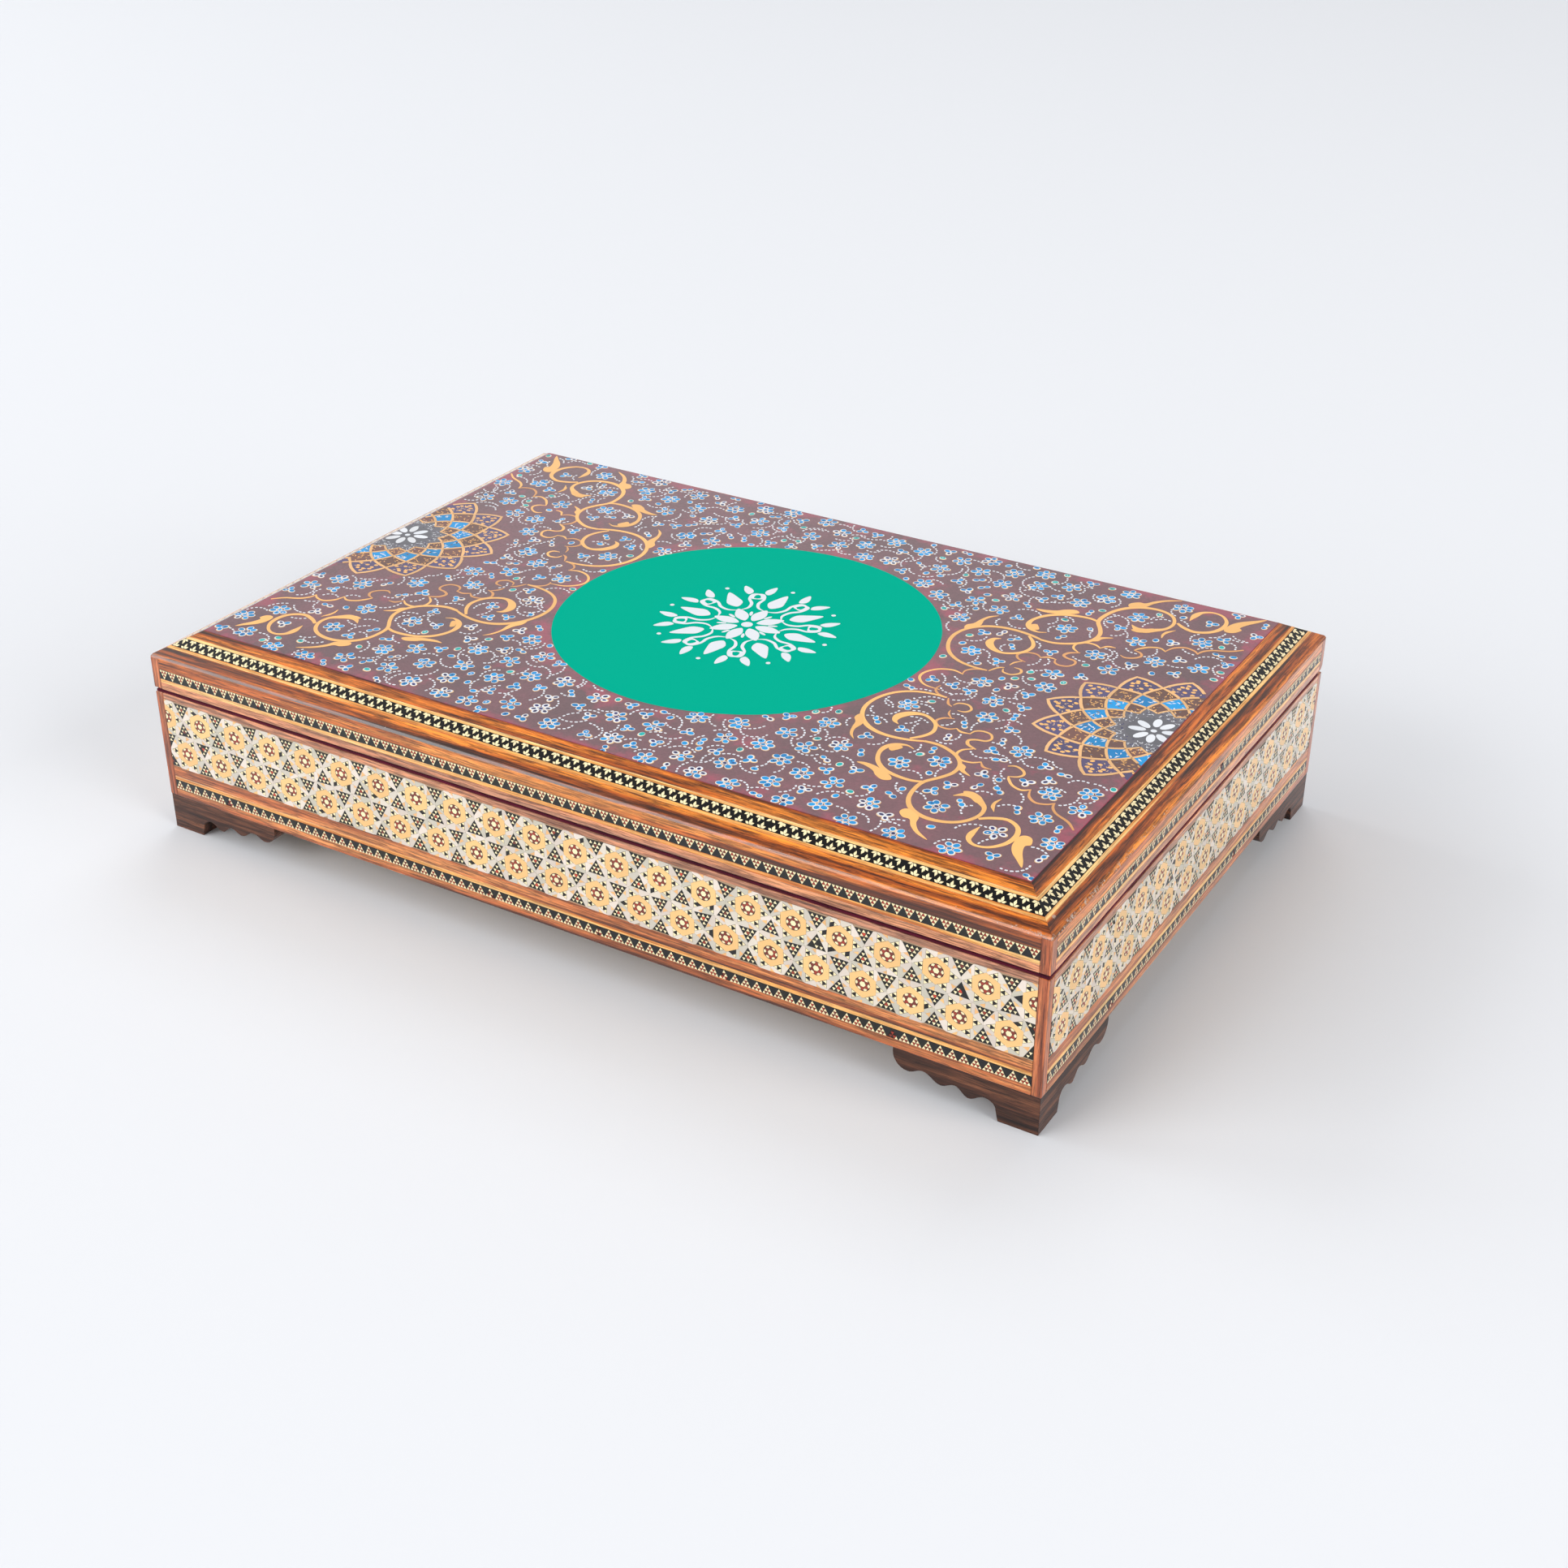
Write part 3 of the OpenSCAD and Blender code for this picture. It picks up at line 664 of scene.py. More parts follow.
def star_side(t, side, seed):
    r = np.random.default_rng(seed)
    w = side_len(side) - 2 * LIP
    n = 21 if side % 2 == 0 else 14
    h = Z_STAR - Z_MID
    zc = (Z_STAR + Z_MID) / 2
    s = w / n / 2
    ky = (h / 2) / (s * S3)
    t.at(on_side(side, side_depth(side) / 2))
    slab(t, -w / 2, w / 2, Z_MID, Z_STAR, -2.0, -SUNK, "pale_joint")

    def put(poly, mat, gap=GAP, hi=0.0, lo=None):
        p = ccw(poly)
        if (p[:, 0] < -w / 2).any() or (p[:, 0] > w / 2).any() or (np.abs(p[:, 1]) > s * S3).any():
            p = clip(p, -w / 2, w / 2, -s * S3, s * S3)
            if p is None:
                return
            p = ccw(p)
        p = np.c_[p[:, 0], zc + p[:, 1] * ky]
        t.add(p, -SUNK - 0.02 if lo is None else lo, hi + r.uniform(-0.008, 0.008), mat, gap)

    # the black triangles between the hexagons
    cells = {}
    rows = [(-s * S3 / 2, [-w / 2 + s + i * 2 * s for i in range(n)], [-w / 2 + i * 2 * s for i in range(n + 1)]),
            (s * S3 / 2, [-w / 2 + i * 2 * s for i in range(n + 1)], [-w / 2 + s + i * 2 * s for i in range(n)])]
    for cy, _, xs in rows:
        for x in xs:
            for up in (-1, 1):
                g = np.array([x, cy - up * s * S3 / 3])
                side_b = r.uniform(0.76, 0.83) * s
                off = r.normal(0, 0.09, 2)
                turn = r.normal(0, 2.6)
                tri = [g + off + np.array(polar(side_b / S3, 90 * up + 120 * k + turn)) for k in range(3)]
                cells[(round(g[0], 1), round(g[1], 1))] = (g, tri)
                put(tri, pick("ebony", r), 0.02)
                upr, inv = subdivided(*tri, 4)
                for i, j, q in inv:
                    put(q, pick("bone", r), 0.115 * r.uniform(0.8, 1.15), 0.012, -0.05)
                for i, j, q in upr:
                    if (i, j) == (1, 1):
                        put(q, pick("scarlet" if r.random() < 0.4 else "redwood", r), 0.06, 0.014, -0.05)

    def corners(mid, out, ka, kb):
        g = mid + out * (s * S3 / 6)
        found = None
        for dx in (-0.1, 0, 0.1):
            for dy in (-0.1, 0, 0.1):
                found = found or cells.get((round(g[0] + dx, 1), round(g[1] + dy, 1)))
        if found is None:
            tri = [g + (k - g) * 0.78 for k in (ka, kb)]
            return tri[0], tri[1]
        tri = found[1]
        return (min(tri, key=lambda q: np.hypot(*(q - ka))), min(tri, key=lambda q: np.hypot(*(q - kb))))

    for cy, xs, _ in rows:
        for x in xs:
            c = np.array([x, cy]) + r.normal(0, 0.05, 2)
            size = r.uniform(0.985, 1.02)
            ry, ap = 4.78 * s / 7.42 * size, 4.78 * s / 7.42 * size * S3 / 2
            k = s / 7.42
            turn = r.normal(0, 1.2)
            # hexagon of yellow wood with its rosette
            hexa = [c + polar(ry, 30 + 60 * i + turn) for i in range(6)]
            outer, inner = [], []
            for i in range(6):
                outer += [hexa[i - 1], (hexa[i - 1] + hexa[i]) / 2]
            for i in range(12):
                inner.append(c + np.array(polar(2.46 * k, -30 + 30 * i + turn)))
            tint = pick("amber", r)
            for i in range(12):
                j = (i + 1) % 12
                q = [outer[i], outer[j], inner[j], inner[i]]
                if abs(x) > w / 2 - 2 * s:
                    put(q, tint, 0.0)
            if abs(x) <= w / 2 - 2 * s:
                shrink = lambda pts, f: [(c[0] + (p[0] - c[0]) * f, zc + (c[1] + (p[1] - c[1]) * f) * ky) for p in pts]
                t.ring(shrink(outer, 0.992), shrink(inner, 1.0), -SUNK - 0.02, r.uniform(-0.006, 0.006), tint)
            put([c + polar(2.43 * k, 30 * i + turn) for i in range(12)], "rosette_ground", 0.0, -0.03)
            rt = r.normal(0, 4)
            sc = k * r.uniform(0.96, 1.03)
            for i in range(6):
                a = 60 * i + rt
                put([c + polar(0.78 * sc, a + 30), c + polar(1.36 * sc, a), c + polar(2.34 * sc, a + 30), c + polar(1.36 * sc, a + 60)],
                    pick("redwood", r), 0.02, 0.0, -0.06)
                put([c + polar(1.40 * sc, a), c + polar(1.98 * sc, a - 22), c + polar(2.36 * sc, a - 8), c + polar(2.36 * sc, a + 8),
                     c + polar(1.98 * sc, a + 22)], pick("bone", r), 0.055, 0.006, -0.06)
            put([c + polar(0.99 * sc, a + 60 * i) for i in range(6)], pick("bone", r), 0.02, 0.012, -0.06)
            # small triangles on the six flats
            apex, base = [], []
            for i in range(6):
                d, l = np.array(polar(1, 60 * i + turn)), np.array(polar(1, 60 * i + 90 + turn))
                tip = c + d * (6.82 * k) + l * r.normal(0, 0.1)
                b1, b2 = c + d * ap - l * 1.56 * k, c + d * ap + l * 1.56 * k
                apex.append(tip)
                base.append((b1, b2))
                put([tip, b2, b1], pick("ebony", r), 0.02)
                for q in ([tip, (tip + b2) / 2, (tip + b1) / 2], [b2, (b2 + b1) / 2, (b2 + tip) / 2], [b1, (b1 + tip) / 2, (b1 + b2) / 2]):
                    if r.random() > 0.02:
                        put(q, pick("bone", r), 0.085 * r.uniform(0.8, 1.2), 0.012, -0.05)
            # white slivers and a peach chip over each corner of the hexagon
            for i in range(6):
                j = (i + 1) % 6
                centre = np.array([x, cy])
                ka, kb = centre + polar(s, 60 * i), centre + polar(s, 60 * i + 60)
                mid, out = (ka + kb) / 2, np.array(polar(1, 60 * i + 30))
                al = (kb - ka) / np.hypot(*(kb - ka))
                ba, bb = corners(mid, out, ka, kb)
                top = hexa[i]
                ca, cb = base[i][1], base[j][0]
                ta, tb = apex[i], apex[j]
                flip = r.random() < 0.5
                if flip:
                    ka, kb, ba, bb, ca, cb, ta, tb, al = kb, ka, bb, ba, cb, ca, tb, ta, -al
                sh = min(0.9, max(-0.4, r.normal(0.25, 0.35)))
                p = top + (mid - top) * r.uniform(0.18, 0.45) + al * (sh * 0.3)
                q = ba + (bb - ba) * min(0.68, max(0.32, 0.5 + sh * 0.12))
                m2 = mid + al * min(sh + r.uniform(1.1, 1.9), 2.1) + out * r.normal(0.0, 0.1)
                put([ka, ta, ca, top, p, q, ba], pick("white", r), 0.018)
                put([kb, bb, q, m2, p, top, cb, tb], pick("white", r), 0.018)
                put([p, m2, q], pick("peach", r), 0.015)


SIDE_NAMES = {FRONT: "front", RIGHT: "right", BACK: "back", LEFT: "left"}
for sd in range(4):
    name = SIDE_NAMES[sd]
    t = Tiles("khatam_" + name, "body", "star_inlay", ["star_panel_" + name])
    star_side(t, sd, 100 + sd)
    t.build()

# ----------------------------------------------------------- triangle strips


def triangle_side(t, side, z0, z1, up, seed):
    r = np.random.default_rng(seed)
    w = side_len(side) - 2 * LIP
    n = round(w / 3.66)
    a = w / n
    t.at(on_side(side, side_depth(side) / 2))
    slab(t, -w / 2, w / 2, z0, z1, -2.0, -SUNK)
    e = 0.06
    base, tip = (z0 + e, z1 - e) if up else (z1 - e, z0 + e)
    for i in range(n + 1):
        x = -w / 2 + i * a
        tri = clip([(x, base), (x - a / 2, tip), (x + a / 2, tip)], -w / 2, w / 2, z0, z1)
        if tri is not None:
            t.add(tri, -SUNK - 0.02, r.uniform(-0.01, 0.0), pick("ebony", r), 0.02)
    for i in range(n):
        x = -w / 2 + i * a
        jx, jt = r.normal(0, 0.05), r.normal(0, 0.1)
        pts = [(x + 0.05 + jx, base), (x + a - 0.05 + jx, base), (x + a / 2 + jt, tip)]
        upr, inv = subdivided(*pts, 3)
        worn = r.random() < 0.05
        for _, _, q in upr:
            if not (worn and r.random() < 0.4):
                t.add(q, -SUNK - 0.02, r.uniform(0.0, 0.012), pick("bone", r), 0.05 * r.uniform(0.7, 1.3))
        for _, _, q in inv:
            t.add(q, -SUNK - 0.02, r.uniform(-0.01, 0.004), pick("redwood", r), 0.05)


t = Tiles("triangles_body", "body", "triangle_inlay", ["body_triangles"])
for sd in range(4):
    triangle_side(t, sd, Z_LOW, Z_TRI, True, 200 + sd)
t.build()
t = Tiles("triangles_lid", "lid", "triangle_inlay", ["lid_triangles"])
for sd in range(4):
    triangle_side(t, sd, Z_LID_TRI, Z_LID_TOP, False, 210 + sd)
t.build()

# --------------------------------------------------------------- woven strip


def woven_side(t, side, seed):
    r = np.random.default_rng(seed)
    t.at(on_bevel(side))
    half = side_len(side) / 2
    lo_in, hi_in = BEV_1 * math.cos(SLOPE), BEV_2 * math.cos(SLOPE)
    g = 0.06
    t.add([(-half + lo_in + g, BEV_1), (half - lo_in - g, BEV_1), (half - hi_in - g, BEV_2), (-half + hi_in + g, BEV_2)],
          -1.2, -SUNK * 0.6, "black_wood")
    h = BEV_2 - BEV_1   # width of the strip
    n = round(2 * (half - lo_in) / 3.7)
    pitch = 2 * (half - (lo_in + hi_in) / 2) / n
    for row in (0, 1):
        for i in range(-n, n + 1):
            x = (i + 0.5 * row) * pitch + r.normal(0, 0.06)
            y0, sg = (BEV_2 - 0.12, -1) if row == 0 else (BEV_1 + 0.12, 1)
            lim = half - (y0 + sg * h * 0.3) * math.cos(SLOPE) - 0.5
            if abs(x) > lim:
                continue
            k = r.uniform(0.95, 1.05)
            a = np.array([x, y0 + sg * 0.04])
            lean = r.normal(0, 4)
            for deg, ln, hw in ((0, 2.1, 0.47), (60, 1.62, 0.42), (-60, 1.62, 0.42)):
                t_ = math.radians(deg + lean + r.normal(0, 3))
                d = np.array([math.sin(t_), sg * math.cos(t_)])
                L = ln * k * r.uniform(0.95, 1.05)
                nn = np.array([-d[1], d[0]]) * hw * r.uniform(0.9, 1.1)
                q = [a + d * 0.05, a + d * L * 0.35 + nn * 0.8, a + d * L * 0.58 + nn, a + d * L, a + d * L * 0.58 - nn, a + d * L * 0.35 - nn * 0.8]
                q = clip(q, -half, half, BEV_1 + 0.04, BEV_2 - 0.04)
                if q is None or r.random() < 0.015:
                    continue
                room = half - q[:, 1] * math.cos(SLOPE) - 0.1
                q = np.c_[np.clip(q[:, 0], -room, room), q[:, 1]]
                if abs(area(q)) > 0.12:
                    t.add(q, -SUNK, r.uniform(-0.005, 0.01), pick("bone", r), 0.03)


t = Tiles("woven_bevel", "lid", "woven_inlay", ["bevel_inlay"])
for sd in range(4):
    woven_side(t, sd, 300 + sd)
t.build()


# ------------------------------------------------- mouldings, rounded arris
def on_slope(a, d):
    return (a * math.cos(SLOPE) + d * math.sin(SLOPE), Z_ARRIS + a * math.sin(SLOPE) - d * math.cos(SLOPE))


def moulding(side):
    """One mitred moulding, with its arris rubbed round."""
    rad = 1.7
    tl = rad * math.tan((math.pi / 2 - SLOPE) / 2)
    cx, cz = rad, Z_ARRIS - tl
    arc = [(cx - rad * math.cos(t), cz + rad * math.sin(t)) for t in np.linspace(0, math.pi / 2 - SLOPE, 8)]
    inner_z = on_slope(0, 1.2)[1] + (BEV_IN - on_slope(0, 1.2)[0]) * math.tan(SLOPE)
    e1, e2 = on_slope(4.4 - 0.12, 0), on_slope(4.4, 0.08)
    sec = [(0, Z_EDGE)] + [q for q in arc if q[1] > Z_EDGE + 1e-6] + [e1, e2, on_slope(4.4, 1.2), (BEV_IN, inner_z), (BEV_IN, Z_EDGE)]
    half = side_len(side) / 2 - 0.03
    a = math.pi / 2 * side
    c, n = round(math.cos(a)), round(math.sin(a))
    v, f, k = [], [], len(sec)
    steps = 40
    for i in range(steps + 1):
        u = -1 + 2 * i / steps
        for ins, z in sec:
            x, y = u * (half - ins), -side_depth(side) / 2 + ins
            v.append(((c * x - n * y) / 1000, (n * x + c * y) / 1000, z / 1000))
    for i in range(steps):
        for j in range(k):
            j2 = (j + 1) % k
            f.append((i * k + j, i * k + j2, (i + 1) * k + j2, (i + 1) * k + j))
    f.append(tuple(range(k - 1, -1, -1)))
    f.append(tuple(range(steps * k, steps * k + k)))
    name = SIDE_NAMES[side]
    me = bpy.data.meshes.new("bevel_moulding_" + name)
    me.from_pydata(v, [], [q[::-1] for q in f])
    me.update()
    me.materials.append(MAT["mould_wood_" + ("X" if side % 2 == 0 else "Y")])
    smooth_set = np.zeros(len(f), bool)
    for i in range(steps):
        for j in range(0, len(arc)):
            smooth_set[i * k + j] = True
    me.polygons.foreach_set("use_smooth", smooth_set)
    me.set_sharp_from_angle(angle=math.radians(28))
    o = bpy.data.objects.new("bevel_moulding_" + name, me)
    bpy.context.scene.collection.objects.link(o)
    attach(o, "lid")
    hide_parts("moulding_" + name)


for sd in range(4):
    moulding(sd)

# ------------------------------------------------------------ painted lid
# Everything painted on the lid lies on the panel as thin closed layers of paint, with heights in mm over the panel.
PX, PY = BOX_L / 2 - BEV_IN - 0.25, BOX_W / 2 - BEV_IN - 0.25
DISC = (0.0, 1.6, 63.0)
H_GOLD, H_OUT, H_RING, H_CORE = 0.05, 0.02, 0.035, 0.05
UNDER = -0.03

# One corner scroll, drawn for the back left corner. Points are (x, y, width) in units of 1/15 mm from the panel's
# corner region; the other three corners are its mirror images, each a little redrawn.
U = 1 / 15.0


def corner_strokes():
    rings = [
        # smallest ring
        [(442, 286, 14), (398, 316, 19), (332, 335, 20), (268, 302, 21), (238, 238, 24), (246, 162, 20), (290, 104, 15),
         (346, 90, 14), (390, 116, 20), (406, 166, 30), (404, 232, 3)],
        # second ring
        [(628, 406, 3), (590, 436, 30), (548, 440, 46), (506, 412, 34), (464, 372, 20), (453, 310, 18), (480, 246, 18),
         (530, 206, 18), (600, 190, 20), (670, 202, 22), (730, 240, 22), (772, 302, 20), (790, 380, 20), (786, 450, 20),
         (744, 520, 20), (718, 582, 20), (722, 652, 20), (760, 716, 20), (820, 760, 19), (880, 782, 18), (942, 780, 16)],
        # third ring
        [(784, 452, 14), (832, 436, 18), (902, 440, 20), (972, 462, 22), (1030, 512, 20), (1062, 580, 18), (1062, 640, 26),
         (1034, 684, 26), (990, 704, 12), (950, 688, 3)],
        # fourth, inner turn
        [(1006, 770, 12), (966, 822, 17), (946, 880, 18), (960, 946, 18), (1002, 992, 18), (1052, 1010, 20), (1104, 988, 34),
         (1138, 940, 38), (1136, 892, 22), (1108, 868, 3)],
        # fourth, outer arc towards the disc
        [(940, 780, 12), (1002, 756, 17), (1082, 742, 18), (1162, 750, 20), (1232, 786, 22), (1288, 852, 20), (1316, 942, 20),
         (1306, 1040, 19), (1260, 1130, 18), (1190, 1186, 16), (1110, 1210, 14), (1030, 1212, 10)],
    ]
    leaves = [
        [(236, 165), (205, 112), (152, 72), (95, 32), (112, 78), (148, 132), (166, 186), (140, 212), (158, 254), (200, 262), (234, 236)],
        [(650, 198), (640, 142), (604, 84), (532, 36), (604, 54), (656, 100), (682, 148), (722, 146), (752, 176), (744, 212), (714, 228)],
        [(926, 440), (908, 402), (944, 374), (986, 396), (1012, 430), (1060, 450), (1106, 456), (1062, 482), (1000, 478)],
        [(726, 674), (690, 660), (684, 622), (640, 590), (700, 600), (724, 632)],
        [(1238, 792), (1256, 720), (1242, 670), (1212, 634), (1262, 664), (1282, 720), (1290, 778), (1318, 812), (1310, 850), (1284, 860)],
        [(520, 392), (500, 420), (522, 462), (566, 478), (608, 456), (590, 424), (556, 414)],
        [(1008, 634), (1024, 622), (1052, 644), (1040, 676), (1012, 688), (990, 668)],
        [(410, 366), (432, 380), (456, 400), (458, 440), (432, 476), (440, 430), (426, 396)],
    ]
    lines = [
        [(62, 396, 8), (110, 442, 12), (180, 476, 12), (214, 512, 12), (226, 552, 6)],
        [(222, 552, 6), (250, 526, 12), (300, 516, 12), (346, 550, 12), (366, 606, 6)],
        [(362, 606, 6), (400, 582, 12), (450, 600, 13), (486, 640, 12), (500, 666, 5)],
        [(502, 664, 5), (462, 680, 12), (446, 712, 12), (466, 746, 12), (508, 766, 12), (540, 750, 4)],
        [(590, 686, 5), (630, 690, 12), (656, 726, 6)],
        [(654, 728, 6), (690, 702, 12), (740, 702, 12), (776, 742, 12), (770, 790, 12), (734, 822, 6)],
        [(722, 824, 8), (768, 850, 16), (782, 888, 14), (756, 910, 12), (714, 920, 12), (700, 952, 12), (720, 990, 12),
         (760, 1000, 12), (790, 984, 10), (800, 950, 5)],
        [(796, 950, 5), (840, 946, 12), (872, 968, 5)],
        [(868, 968, 5), (900, 942, 12), (950, 950, 12), (976, 990, 12), (956, 1030, 12), (914, 1046, 5)],
        [(930, 1046, 5), (956, 1078, 10), (964, 1112, 4)],
        [(1022, 1212, 6), (1000, 1164, 12), (974, 1146, 5)],
        [(936, 1124, 4), (900, 1130, 11), (888, 1164, 12), (918, 1196, 12), (960, 1190, 10), (974, 1160, 4)],
        [(1030, 1212, 6), (1082, 1226, 11), (1112, 1262, 10), (1108, 1302, 5)],
    ]
    return rings, leaves, lines


MIDDLE_ARC = [(1104, 1302, 5), (1160, 1286, 12), (1222, 1312, 13), (1260, 1372, 13), (1254, 1432, 12), (1200, 1482, 10), (1120, 1492, 4)]


def from_design(pts, sx, sy, warp):
    """Design units to mm on the panel, mirrored to one corner and gently redrawn."""
    p = np.asarray(pts, float)
    x = (p[:, 0] * U + 10.0) - 158.8
    y = 103.6 - (p[:, 1] * U + 10.0)
    ax, ay, bx, by = warp
    x2 = x + 0.8 * np.sin(y * 0.061 + ax) + 0.5 * np.sin(x * 0.09 + bx)
    y2 = y + 0.8 * np.sin(x * 0.055 + ay) + 0.5 * np.sin(y * 0.10 + by)
    out = p.copy()
    out[:, 0] = sx * x2
    out[:, 1] = sy * (y2 - DISC[1]) + DISC[1]
    if p.shape[1] > 2:
        out[:, 2] = p[:, 2] * U * 1.02
    return out


def inside_panel(p, m=0.0):
    return (np.abs(p[:, 0]) < PX - m) & (np.abs(p[:, 1]) < PY - m)


gold = Tiles("lid_scrolls", "lid", "painted_lacquer").at(on_lid)
stroke_points = []   # x, y, clear radius


def keep_clear(pts, extra):
    for q in pts[::2]:
        stroke_points.append((q[0], q[1], (q[2] / 2 if len(q) > 2 else 0.9) + extra))


for ci, (sx, sy) in enumerate(((-1, 1), (1, 1), (-1, -1), (1, -1))):
    sx = -sx
    warp = np.random.default_rng(400 + ci).uniform(0, 6.28, 4)
    r = np.random.default_rng(500 + ci)
    rings, leaves, lines = corner_strokes()
    if sy > 0:
        lines.append(MIDDLE_ARC)
    for k, ring_ in enumerate(rings + lines):
        pts = smooth(from_design(ring_, sx, sy, warp), 6)
        keepers = inside_panel(pts)
        if not keepers.all():
            pts = pts[keepers]
        if len(pts) < 3:
            continue
        pts[:, 2] *= 1 + 0.07 * np.sin(np.linspace(0, 9, len(pts)) + r.uniform(0, 6))
        gold.ribbon(pts, UNDER, H_GOLD - 0.0012 * k, pick("gold", r) if k < len(rings) or r.random() < 0.5 else pick("vine", r))
        keep_clear(pts, 1.0)
    for li, leaf in enumerate(leaves):
        pts = smooth(from_design([(a, b, 0) for a, b in leaf], sx, sy, warp)[:, :2], 5, closed=True)
        mean = pts.mean(0)
        ax_ = np.linalg.svd(pts - mean)[2]
        # the scroll in the front right corner has the slimmest leaves
        near = sx > 0 and sy < 0
        long_, slim = (0.78, 0.60) if near and li == 0 else (1.0, 0.56) if near else (1.0, 0.70)
        pts = mean + ((pts - mean) @ ax_.T * (long_, slim)) @ ax_
        pts = clip(pts, -PX, PX, -PY, PY)
        if pts is not None:
            gold.add(pts, UNDER, H_GOLD + 0.003 + 0.001 * li, pick("gold", r))
            keep_clear(np.c_[pts, np.full(len(pts), 0.6)], 1.1)
gold.build()

# the half medallions at the two ends
MED_R = (11.5, 14.6, 18.6, 23.6, 28.6, 35.4)


def medallion(sx, seed):
    r = np.random.default_rng(seed)
    cx, cy = sx * 141.0, 1.9
    count = 13
    t0 = 3.7 if sx < 0 else 176.3
    t = Tiles("lid_medallion_" + ("left" if sx < 0 else "right"), "lid", "painted_lacquer").at(on_lid)

    def put(poly, mat, hi, gap=0.0):
        p = clip(poly, -PX, PX, -PY, PY)
        if p is not None:
            t.add(p, UNDER, hi, mat, gap)

    def at_(ring_i, k):
        """Knot k of a ring; odd rings share the tips' directions and even ones lie between."""
        turn = 360 / count
        return np.array([cx, cy]) + polar(MED_R[ring_i], t0 + (k + (0 if ring_i % 2 else 0.5)) * turn)

    def arc(a, b, bulge, steps=5):
        m = (a + b) / 2
        n = np.array([-(b - a)[1], (b - a)[0]]) * bulge
        return [a * (1 - u) ** 2 + 2 * (m + n) * u * (1 - u) + b * u * u for u in np.linspace(0, 1, steps)]

    centre = np.array([cx, cy])
    # grey heart with a white eight-petalled flower
    put([centre + polar(MED_R[1] - 0.3, 360 / 40 * i) for i in range(40)], "ash_1", 0.012)
    for i in range(300):
        a, d = r.uniform(0, 360), 13.6 * math.sqrt(r.uniform(0.2, 1))
        q = centre + polar(d, a)
        s = r.uniform(0.22, 0.4)
        put([q + np.array(polar(s * (1.9 if k % 2 else 0.5), a + 70 * math.sin(i) + 90 * k)) for k in range(4)],
            pick("paint_white", r) if r.random() < 0.72 else pick("navy", r), 0.022)
    put([centre + polar(8.3, 360 / 30 * i) for i in range(30)], "ash_0", 0.026)
    for i in range(8):
        a = 45 * i + 12 + r.normal(0, 3)
        q = centre + polar(5.0 + r.normal(0, 0.15), a)
        el = [q + rot([(2.7 * math.cos(u), 1.32 * math.sin(u))], a)[0] for u in np.linspace(0, 2 * math.pi, 14, endpoint=False)]
        put(el, pick("paint_white", r), 0.045)
    put([centre + polar(1.0, 45 * k) for k in range(8)], pick("paint_white", r), 0.045)
    # net of cells
    kinds = {1: "umber", 2: "blue", 3: "umber", 4: "slate"}   # from the heart outwards
    for level in (1, 2, 3, 4):
        for k in range(count):
            if level % 2:     # between the tips: inner knot on ring level-1 (even)
                inner, outer = at_(level - 1, k), at_(level + 1, k)
                left, right = at_(level, k), at_(level, k + 1)
            else:
                inner, outer = at_(level - 1, k), at_(level + 1, k)
                left, right = at_(level, k - 1), at_(level, k)
            bulge = 0.15 if level == 4 else 0.08
            edge = arc(inner, right, -0.08)[:-1] + arc(right, outer, bulge)[:-1] + arc(outer, left, bulge)[:-1] + arc(left, inner, -0.08)[:-1]
            edge = np.array(edge)
            mid = edge.mean(0)
            base_h = 0.014 + 0.001 * level
            put(edge, pick(kinds[level], r), base_h)
            # brush marks inside the cell
            d1, d2 = (outer - inner) / 2, (right - left) / 2
            if level == 4:
                spots = [(0.42, 0.0), (0.1, 0.36), (0.1, -0.36), (-0.22, 0.0), (-0.3, 0.42), (-0.3, -0.42), (0.66, 0.0), (0.36, 0.3), (0.36, -0.3)]
                for u, v_ in spots:
                    q = mid + d1 * (u + r.normal(0, 0.03)) + d2 * (v_ + r.normal(0, 0.03))
                    aa = t0 + r.normal(0, 20)
                    put([q + rot([(0.78 * math.cos(w), 0.6 * math.sin(w))], aa)[0] for w in np.linspace(0, 2 * math.pi, 9, endpoint=False)],
                        pick("gold", r), base_h + 0.012)
            for _ in range({1: 14, 2: 17, 3: 34, 4: 34}[level]):
                u, v_ = r.uniform(-0.78, 0.78), r.uniform(-0.78, 0.78)
                if abs(u) + abs(v_) > 0.8:
                    continue
                q = mid + d1 * u + d2 * v_
                a0, s = r.uniform(0, 360), r.uniform(0.24, 0.42) * (1.6 if level == 2 else 0.9 if level == 4 else 1.15)
                col = {1: "gold", 2: "paint_white", 3: "gold", 4: "paint_pale"}[level] if r.random() < 0.8 else "ash"
                put([q + np.array(polar(s * (1.7 if j % 2 else 0.55), a0 + 90 * j + (25 if j == 1 else 0))) for j in range(4)],
                    pick(col, r), base_h + 0.010)
            # gold outline of the cell
            loop = np.r_[edge, edge[:1]]
            wline = 1.05 if level == 4 else 0.9 if level > 1 else 0.7
            hl = H_GOLD + 0.0007 * k + 0.009 * (level - 2)
            loop = np.c_[loop, np.full(len(loop), wline)]
            ok = inside_panel(loop, 0.1)
            run = []
            for q, o in zip(loop, ok):
                if o:
                    run.append(q)
                else:
                    if len(run) > 1:
                        t.ribbon(run, UNDER, hl, pick("line_gold", r))
                    run = []
            if len(run) > 1:
                t.ribbon(run, UNDER, hl, pick("line_gold", r))
    t.build()
    stroke_points.append((cx, cy, 37.0))


medallion(-1, 600)
medallion(1, 601)

